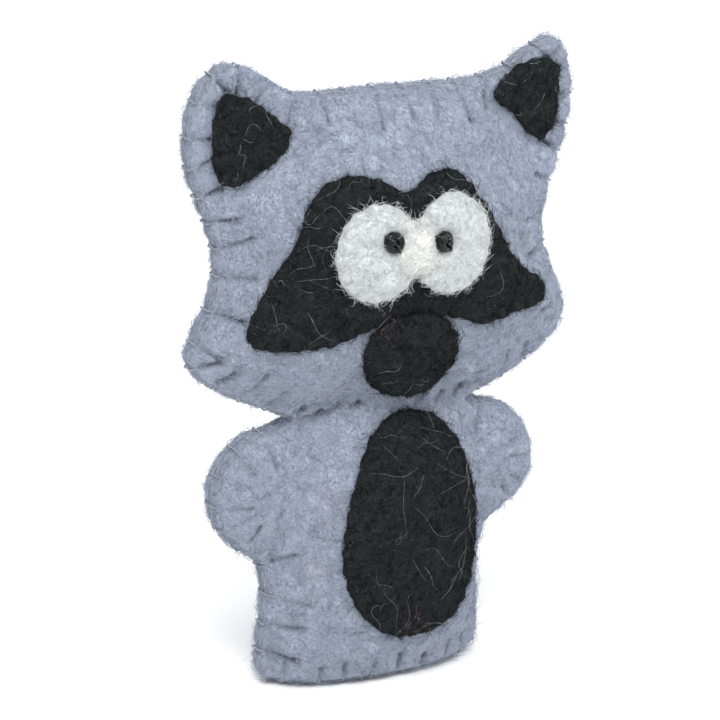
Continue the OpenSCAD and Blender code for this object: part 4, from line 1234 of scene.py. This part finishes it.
# A neck stitch: share of its way, and height over the felt.
NECK_THREAD = ((-0.25, -0.9), (0.0, -0.25), (0.25, 0.02), (0.5, 0.06), (0.75, 0.02), (1.0, -0.25), (1.25, -0.9))
SEWN_PATCHES = {
    "belly_patch": ("belly_stitches", "torso", "black_thread"),
    "eye_mask": ("mask_stitches", "head", "black_thread"),
    "nose_pad": ("nose_stitches", "head", "black_thread"),
    "left_eye_white": ("eye_stitches", "head", "white_thread"),
    "right_eye_white": ("eye_stitches", "head", "white_thread"),
}
class PUPPET_OT_stitching(bpy.types.Operator):
    """Sews the edges, hem, neck, patches and pupils with thread"""
    bl_idname = "puppet.stitching"
    bl_label = "Stitching"

    def execute(self, context):
        self.trees = {facing: made[word].tree() for facing, word in FACES}
        radius = sizes().thread / MM
        self.edges(radius)
        self.hem_and_neck(radius)
        self.patches(radius)
        self.pupils()
        return {"FINISHED"}

    def on_skin(self, spot, facing, lift):
        """A place on the outside of the front or back felt, so far above it."""
        x, z = spot
        hit = self.trees[facing].ray_cast(Vector((x, SEAM + 60 * facing, z)), Vector((0, -facing, 0)))[0]
        y = hit.y if hit is not None else SEAM + facing * 1.2
        return (x, y + facing * lift, z)

    def leg(self, stitch, facing):
        """A stitch's thread from its hole over one face to the edge."""
        a, b = stitch["edge"], stitch["hole"]
        way = b - a
        path = [self.on_skin(b + 0.06 * way, facing, -1.1), self.on_skin(b, facing, -0.35)]
        sunk = 0.12 + 0.3 * abs(math.sin(7.0 * a[0] + 3.0 * a[1]))
        path += [self.on_skin(a + way * t, facing, -sunk) for t in (0.86, 0.66, 0.46)]
        path.append(self.on_skin(a + way * 0.24, facing, -0.08))
        x, z = a - 0.02 * way
        path.append((x, SEAM + facing * 1.1, z))
        return path

    @staticmethod
    def region_of(spot):
        """The region of felt that a stitch on the edge belongs to."""
        side, word = SIDES[0] if spot[0] > 0 else SIDES[1]
        if past_fold(spot[None], side)[0] > EAR_BEND[0]:
            return word + "_ear"
        if side * spot[0] > ARM_BEND[0] and spot[1] < ARM_TOP:
            return word + "_arm"
        return "body" if spot[1] < NECK else "head"

    def edges(self, radius):
        """Blanket stitches: legs over both faces, and a thread from one to the next along the edge."""
        outline, stitches, groups = made["outline"], made["stitches"], {}
        inward = inward_of(outline)
        for n, stitch in enumerate(stitches):
            x, z = stitch["edge"]
            paths = groups.setdefault(self.region_of(stitch["edge"]), [])
            back = self.leg(dict(stitch, hole=stitch["hole"] + (0.3, -0.2)), BACK)
            paths.append(self.leg(stitch, FRONT) + [(x, SEAM, z)] + back[::-1])
            if n + 1 < len(stitches):
                along = np.arange(stitch["index"], stitches[n + 1]["index"] + 1)
                share = np.linspace(0, 1, len(along))
                sway = -1.15 * np.sin(np.pi * share) ** 0.6 * (1 if n % 4 else -0.5)
                out = -0.16 + 0.1 * np.sin(np.pi * share)
                line = outline[along] - inward[along] * out[:, None]
                paths.append([(x, SEAM + s, z) for (x, z), s in zip(line, sway)])
        for region, paths in groups.items():
            core = region in ("body", "head")
            piece = thread_piece(f"{region}_edge_thread", paths, radius, finishes()["grey_thread"])
            node = f"{region}_edge_stitches" if core else f"{region}_stitches"
            dress(piece, None, bends()["core" if core else region], [node])

    def hem_and_neck(self, radius):
        """Overcast stitches round the hem, and the running stitches that close the neck."""
        hem, neck = [], []
        for facing, word in FACES:
            for mark in made[word + "_marks"]:
                if "hem" in mark:
                    path = self.leg(mark, facing)[:-1]
                    x, y, z = path[-1]
                    path += [(x, y - facing * deep, low) for deep, low in HEM_TURN]
                    hem.append(path)
                if "neck" in mark:
                    a, b = mark["edge"], mark["hole"]
                    neck.append([self.on_skin(a + (b - a) * t, facing, lift) for t, lift in NECK_THREAD])
        piece = thread_piece("hem_thread", hem, radius, finishes()["grey_thread"])
        dress(piece, "torso", replaces=["hem_stitches"])
        piece = thread_piece("neck_thread", neck, radius * 0.9, finishes()["grey_thread"])
        dress(piece, None, bends()["core"], ["neck_stitches"])

    def patches(self, radius):
        """Whip stitches over the patches' edges."""
        trees = [self.trees[FRONT], made["patches"]["eye_mask"][0].tree()]
        groups = {}
        for name, (node, body, finish) in SEWN_PATCHES.items():
            sheet, marks = made["patches"][name]
            tree = sheet.tree()
            under = trees[:1] if name in ("belly_patch", "eye_mask") else trees
            for mark in marks:
                a, b = mark["edge"], mark["hole"]
                if "eye_white" in name and abs(a[0] - JUNCTION) < 1.0 and 66.5 < a[1] < 76:
                    continue
                middle, past = (a + b) / 2, a + (a - b) * 0.08
                high = height_on(np.array([b, middle]), [tree])
                low = height_on(np.array([a, past]), under)
                groups.setdefault(node, (body, finish, []))[2].append([
                    (x, SEAM - height + sunk, z) for (x, z), height, sunk in (
                        (b, high[0], 0.5), (b, high[0], -0.02), (middle, high[1], -0.04), (a, low[0], -0.02),
                        (past, low[1], 0.6))])
        for node, (body, finish, paths) in groups.items():
            piece = thread_piece(node.replace("stitches", "thread"), paths, radius * 0.5, finishes()[finish])
            dress(piece, body, replaces=[node])

    @staticmethod
    def pupils():
        """Two turns of thread through each bead and over its rim."""
        paths = []
        for centre, lean, radius, length in made["beads"]:
            across = np.cross((0, 0, 1.0), lean)
            across /= np.linalg.norm(across)
            up = np.cross(lean, across)
            for turn in (2.5, 5.2):
                out = (math.cos(turn) * across + math.sin(turn) * up) * radius
                paths.append([centre + out * wide + lean * rise for wide, rise in (
                    (0, -0.9), (0.06, 0.3), (0.3, length * 0.5), (0.66, length * 0.60), (0.98, length * 0.40),
                    (1.12, 0.05), (1.12, -0.8))])
        piece = thread_piece("pupil_thread", paths, 0.13, finishes()["black_thread"])
        dress(piece, "head", replaces=["pupil_threads"])


# ---------------------------------------------------------------- loose wool

def fibre_mesh(name, roots, normals, headings, length, radius, curl, lift, finish, rng, parts=4):
    """Fine closed hairs that lie along a surface and end in a point."""
    count = len(roots)
    t = np.linspace(0, 1, parts + 1)
    headings = unit(headings - normals * (headings * normals).sum(1, keepdims=True))
    side = np.cross(normals, headings)
    curl, piece = curl[:, None], (length / parts)[:, None]
    bend = curl * t[None, :-1] + 0.5 * curl * np.sin(6.3 * t[None, :-1] + rng.uniform(0, 6.3, (count, 1)))
    start = np.zeros((count, 1))
    ahead = np.hstack([start, np.cumsum(np.cos(bend) * piece, 1)])[..., None]
    across = np.hstack([start, np.cumsum(np.sin(bend) * piece, 1)])[..., None]
    ends_up = rng.uniform(0.35, 1.0, (count, 1))
    rise = np.sin(np.pi * np.minimum(t[None] * 0.5 / np.maximum(1 - 0.5 * ends_up, 0.5), 1.0))
    rise = (-0.06 + (lift[:, None] + 0.06) * rise)[..., None]
    line = roots[:, None] + ahead * headings[:, None] + across * side[:, None] + rise * normals[:, None]
    way = unit(np.gradient(line, axis=1))
    u = unit(np.cross(way, normals[:, None]))
    v = np.cross(way, u)
    thin = np.interp(t, (0, 0.15, 0.7, 1), (0.75, 1, 0.9, 0.3))
    size = radius[:, None, None] * thin[None, :, None]
    rings = [line + size * (math.cos(a) * u + math.sin(a) * v) for a in (0.5, 2.59, 4.69)]
    points = np.stack(rings, 2).reshape(-1, 3)
    points[:, 2] = np.maximum(points[:, 2], -0.5 + 0.2 * np.clip(points[:, 2] / 3 + 1, 0, 1))
    each = 3 * (parts + 1)
    quads = [(3 * i + k, 3 * i + (k + 1) % 3, 3 * i + 3 + (k + 1) % 3, 3 * i + 3 + k)
             for i in range(parts) for k in range(3)]
    caps = [(2, 1, 0), (each - 3, each - 2, each - 1)]
    base = (np.arange(count) * each)[:, None, None]
    faces = [(np.array(block)[None] + base).reshape(-1, len(block[0])) for block in (quads, caps)]
    columns = math.ceil(math.sqrt(count))
    cell = np.stack([np.arange(count) % columns, np.arange(count) // columns], 1) / columns
    spot = np.stack([np.tile((0.2, 0.8, 0.5), parts + 1), np.repeat(0.15 + 0.7 * t, 3)], 1) / columns
    return new_piece(name, points, faces, finish, uv=(cell[:, None] + spot[None]).reshape(-1, 2))


def rooted(sheet, chosen, per_mm2, rng, want=None):
    """Random places on a sheet's outer face, with their normals."""
    faces = sheet.outer if chosen is None else sheet.outer[chosen]
    a, b, c = corners(sheet.points, faces)
    area = np.linalg.norm(np.cross(b - a, c - a), axis=1) / 2
    weight = area if want is None else area * want(((a + b + c) / 3)[:, [0, 2]])
    count = int(weight.sum() * per_mm2)
    pick = rng.choice(len(faces), count, p=weight / weight.sum())
    u, v = rng.uniform(0, 1, (2, count, 1))
    flip = (u + v) > 1
    u, v = np.where(flip, 1 - u, u), np.where(flip, 1 - v, v)
    roots = a[pick] + u * (b[pick] - a[pick]) + v * (c[pick] - a[pick])
    return roots, unit(sheet.normals[faces[pick]].mean(1))


def any_way(count, rng):
    """Headings all round in the plane of the felt."""
    turn = rng.uniform(0, 2 * np.pi, count)
    return np.stack([np.cos(turn), np.zeros(count), np.sin(turn)], 1)


# Which felt each lot of grey wool grows on: its own name and its region's.
COATS = (("head", "core"), ("body", "core"), ("left_arm",) * 2, ("right_arm",) * 2, ("left_ear",) * 2,
         ("right_ear",) * 2)
WHITES = ("left_eye_white", "right_eye_white", "eye_bridge")
# Long pale hairs on the dark felt: how many, and how long.
STRAYS = {"belly_patch": (42, 3.3), "eye_mask": (58, 2.3), "nose_pad": (9, 1.3), "left_ear_patch": (9, 1.6),
          "right_ear_patch": (10, 1.5)}
# Pink hairs: the patch that they lie on, its body, their middle and how many.
PINK_HAIRS = {"pink_nose_wool": ("nose_pad", "head", (-5.0, 59.6), 16),
              "pink_belly_wool": ("belly_patch", "torso", (3.0, 9.0), 14)}


class PUPPET_OT_fuzz(bpy.types.Operator):
    """Raises loose wool from every felt face and edge"""
    bl_idname = "puppet.fuzz"
    bl_label = "Loose wool"

    def execute(self, context):
        size = sizes()
        self.rng = np.random.default_rng(size.seed + 7)
        self.length, self.radius = size.fuzz_length / MM, size.fuzz_radius / MM
        self.grey(size.fuzz)
        self.dark()
        self.white()
        self.strays()
        return {"FINISHED"}

    def hairs(self, name, roots, normals, headings, finish, long=1.0, thick=1.0, curl=1.2, lift=0.25, parts=4,
              finer=0):
        """Hairs of one kind of wool; the last ones, as many as finer says, are the short thin ones of an edge."""
        count, rng = len(roots), self.rng
        length = long * self.length * rng.uniform(0.45, 1.5, count)
        radius = thick * self.radius * rng.uniform(0.75, 1.3, count)
        bend = rng.normal(0, curl, count)
        edge = np.arange(count) >= count - finer
        length = length * np.where(
            edge, rng.uniform(0.2, 0.62, count) + 0.6 * (rng.uniform(0, 1, count) > 0.94), 1)
        return fibre_mesh(
            name, roots, normals, headings, length, radius * np.where(edge, 0.5, 1), bend * np.where(edge, 1.7, 1),
            lift * rng.uniform(0.15, 1.6, count) ** 1.3, finishes()[finish], rng, parts)

    def coat(self, name, grown, rims, headings, finish, **look):
        """Hairs all over a felt, and the finer ones at its rim."""
        roots, normals = (np.vstack(pair) for pair in zip(grown, rims))
        return self.hairs(name + "_wool", roots, normals, np.vstack(headings), finish, finer=len(rims[0]), **look)

    def grey(self, density):
        """Wool on the grey felt, sparser on the back."""
        outline = made["outline"]
        covers = [np.array(points) for points in (MASK, BELLY, NOSE, *EAR_PATCH.values())]

        def bare(points):
            """1 where the grey felt shows, and 0 under a patch."""
            under = np.any([inside(points, cover) & (to_edge(points, cover) > 0.5) for cover in covers], axis=0)
            return np.where(under, 0.0, 1.0)

        inward = inward_of(outline)
        for (facing, word), share in zip(FACES, (1.0, 0.72)):
            sheet = made[word]
            flat, tris, _ = sheet.plan
            high = flat[tris].mean(1)[:, 1] > NECK
            for part, region in COATS:
                chosen = made[f"{word}_{region}"]
                if region == "core":
                    chosen = chosen & (high if part == "head" else ~high)
                grown = rooted(sheet, chosen, density * share, self.rng, bare if facing == FRONT else None)
                headings = any_way(len(grown[0]), self.rng)
                rims = rooted(sheet, chosen, 7.0, self.rng, lambda p: np.where(to_edge(p, outline) < 0.8, 1.0, 0.0))
                out = np.array([inward[np.argmin(abs(outline - p).sum(1))] for p in rims[0][:, [0, 2]]])
                spread = np.stack([-out[:, 0], self.rng.normal(0, 0.4, len(out)), -out[:, 1]], 1)
                spread += self.rng.normal(0, 0.8, spread.shape)
                piece = self.coat(
                    f"{part}_{word}", grown, rims, (headings, spread), "grey_fibre", lift=0.24, curl=0.95)
                dress(piece, None, bends()[region])

    def dark(self):
        """Wool on the dark patches."""
        for name, (sheet, _) in made["patches"].items():
            if name in WHITES:
                continue
            grown = rooted(sheet, None, 3.2, self.rng)
            outline = sheet.plan[0][sheet.plan[2] == 0]
            rims = rooted(sheet, None, 4.5, self.rng, lambda p: np.where(to_edge(p, outline) < 0.7, 1.0, 0.0))
            headings = any_way(len(grown[0]), self.rng) + (0.5, 0, 0.35), any_way(len(rims[0]), self.rng)
            piece = self.coat(name, grown, rims, headings, "dark_fibre", long=0.72, thick=0.95, curl=1.0, lift=0.2)
            self.tie(piece, name, "black_felt")

    def tie(self, piece, name, slot):
        """Ties a patch's wool to the body the patch is on; an ear patch's wool only has its place baked into its
        points.
        """
        if "ear" in name:
            dress(piece, None, bends()[name.replace("_patch", "")])
        else:
            dress(piece, "torso" if name == "belly_patch" else "head")

    def white(self):
        """Wool on the whites of the eyes and the tuft between them."""
        for name in WHITES:
            sheet = made["patches"][name][0]
            grown = rooted(sheet, None, 4.2, self.rng)
            flat, _, edge = sheet.plan
            rim = flat[edge == 0]
            rims = rooted(
                sheet, None, 9.0, self.rng,
                lambda p: np.where((to_edge(p, rim) < 0.8) & (abs(p[:, 0] - JUNCTION) > 1.2), 1.0, 0.02))
            out = unit(rims[0][:, [0, 2]] - rim.mean(0))
            spread = np.stack([out[:, 0], np.full(len(out), -0.1), out[:, 1]], 1)
            spread += self.rng.normal(0, 0.75, spread.shape)
            piece = self.coat(
                name, grown, rims, (any_way(len(grown[0]), self.rng), spread),
                "cream_fibre" if name == "eye_bridge" else "white_fibre", long=0.78, thick=0.75, curl=1.8, lift=0.26)
            self.tie(piece, name, "white_felt")

    def strays(self):
        """Long pale hairs that lie curled on the dark felt, and a few pink ones."""
        rng = self.rng
        for name, (count, long) in STRAYS.items():
            roots, normals = rooted(made["patches"][name][0], None, 3.0, rng)
            pick = rng.choice(len(roots), count, replace=False)
            piece = self.hairs(
                name + "_strays", roots[pick] + normals[pick] * 0.12, normals[pick], any_way(count, rng), "pale_fibre",
                long=long * 0.8, thick=0.62, curl=1.15, lift=0.3, parts=12)
            self.tie(piece, name, "grey_felt")
        for name, (patch, body, spot, count) in PINK_HAIRS.items():
            roots, normals = rooted(made["patches"][patch][0], None, 6.0, rng)
            close = np.argsort(np.linalg.norm(roots[:, [0, 2]] - spot, axis=1))[:3 * count]
            pick = rng.choice(close, count, replace=False)
            piece = self.hairs(
                name, roots[pick] + normals[pick] * 0.08, normals[pick], any_way(count, rng), "pink_fibre", long=0.7,
                thick=0.8, curl=2.0, lift=0.2, parts=6)
            dress(piece, body)

# ---------------------------------------------------------------- floor, light and camera

CAMERA_PLACE = (-0.3234, -0.5551 + SEAM * MM, 0.2581)
CAMERA_TARGET = (-0.00291, SEAM * MM, 0.0504)
CAMERA_ROLL = math.radians(2.09)
CAMERA_LENS = 216.97
FLOOR_REACH, FLOOR_LEVEL = 4.0, -0.0008
# Each light: its name, place, aim, size and power.
LIGHTS = (
    ("key", (-0.30, -0.50, 0.85), (0, 0, 0.05), 0.5, 7.8),
    ("fill", (0.65, -0.45, 0.45), (0, 0, 0.05), 0.6, 2.3),
    ("rim", (0.1, 0.7, 0.6), (0, 0, 0.06), 0.5, 2.7),
)


class PUPPET_OT_stage(bpy.types.Operator):
    """Sets the pale floor, soft lights and camera"""
    bl_idname = "puppet.stage"
    bl_label = "Stage"

    def execute(self, context):
        self.floor(context)
        self.lights(context)
        self.camera(context)
        return {"FINISHED"}

    @staticmethod
    def floor(context):
        """A wide pale floor, just under the hem's stitches."""
        mesh = bpy.data.meshes.new("floor")
        square = ((-1, -1), (1, -1), (1, 1), (-1, 1))
        mesh.from_pydata([(x * FLOOR_REACH, y * FLOOR_REACH, FLOOR_LEVEL) for x, y in square], [], [(0, 1, 2, 3)])
        floor = bpy.data.objects.new("floor", mesh)
        context.scene.collection.objects.link(floor)
        finish = Finish("pale_floor", Roughness=0.9, Specular_IOR_Level=0.1)
        grain = finish.noise(finish.place(), 0.05, 2.0)
        finish.set("Base Color", finish.mix(grain, (0.93, 0.935, 0.94, 1.0), (0.95, 0.95, 0.95, 1.0)))
        mesh.materials.append(finish.material)

    @staticmethod
    def lights(context):
        """A soft pale surround and three large lamps."""
        world = bpy.data.worlds.new("soft_studio")
        context.scene.world = world
        world.use_nodes = True
        back = world.node_tree.nodes["Background"]
        back.inputs["Color"].default_value = (0.97, 0.985, 1.0, 1.0)
        back.inputs["Strength"].default_value = 0.66
        context.scene.view_settings.view_transform = "Standard"
        for name, place, aim, size, power in LIGHTS:
            light = bpy.data.lights.new(name, "AREA")
            light.size, light.energy = size, power
            lamp = bpy.data.objects.new(name, light)
            lamp.location = place
            lamp.rotation_euler = (Vector(aim) - Vector(place)).to_track_quat("-Z", "Y").to_euler()
            context.scene.collection.objects.link(lamp)

    @staticmethod
    def camera(context):
        """A long lens, a little above the puppet and to its right."""
        lens = bpy.data.cameras.new("camera")
        lens.lens, lens.sensor_width = CAMERA_LENS, 36.0
        lens.clip_start, lens.clip_end = 0.01, 20.0
        camera = bpy.data.objects.new("camera", lens)
        camera.location = CAMERA_PLACE
        turn = (Vector(CAMERA_TARGET) - Vector(CAMERA_PLACE)).to_track_quat("-Z", "Y").to_matrix()
        camera.rotation_euler = (turn @ Matrix.Rotation(CAMERA_ROLL, 3, "Z")).to_euler()
        context.scene.collection.objects.link(camera)
        context.scene.camera = camera


class PUPPET_PT_panel(bpy.types.Panel):
    """Lists the puppet's pieces, sizes and colours"""
    bl_idname = "PUPPET_PT_panel"
    bl_label = "Felt Puppet"
    bl_space_type = "VIEW_3D"
    bl_region_type = "UI"
    bl_category = "Felt Puppet"

    def draw(self, context):
        for operator in OPERATORS:
            self.layout.operator(operator.bl_idname)
        for group in (context.scene.puppet_sizes, context.scene.puppet_colours):
            box = self.layout.box()
            for name in group.__annotations__:
                box.prop(group, name)


OPERATORS = (PUPPET_OT_skin, PUPPET_OT_stuffing, PUPPET_OT_patches, PUPPET_OT_beads, PUPPET_OT_stitching,
             PUPPET_OT_fuzz, PUPPET_OT_stage)
CLASSES = (PuppetSizes, PuppetColours, *OPERATORS, PUPPET_PT_panel)


def register():
    for cls in CLASSES:
        bpy.utils.register_class(cls)
    bpy.types.Scene.puppet_sizes = bpy.props.PointerProperty(type=PuppetSizes)
    bpy.types.Scene.puppet_colours = bpy.props.PointerProperty(type=PuppetColours)


def unregister():
    del bpy.types.Scene.puppet_colours
    del bpy.types.Scene.puppet_sizes
    for cls in reversed(CLASSES):
        bpy.utils.unregister_class(cls)


def main():
    register()
    bpy.ops.puppet.skin()
    bpy.ops.puppet.stuffing()
    bpy.ops.puppet.patches()
    bpy.ops.puppet.beads()
    bpy.ops.puppet.stitching()
    bpy.ops.puppet.fuzz()
    bpy.ops.puppet.stage()


if __name__ == "__main__":
    main()
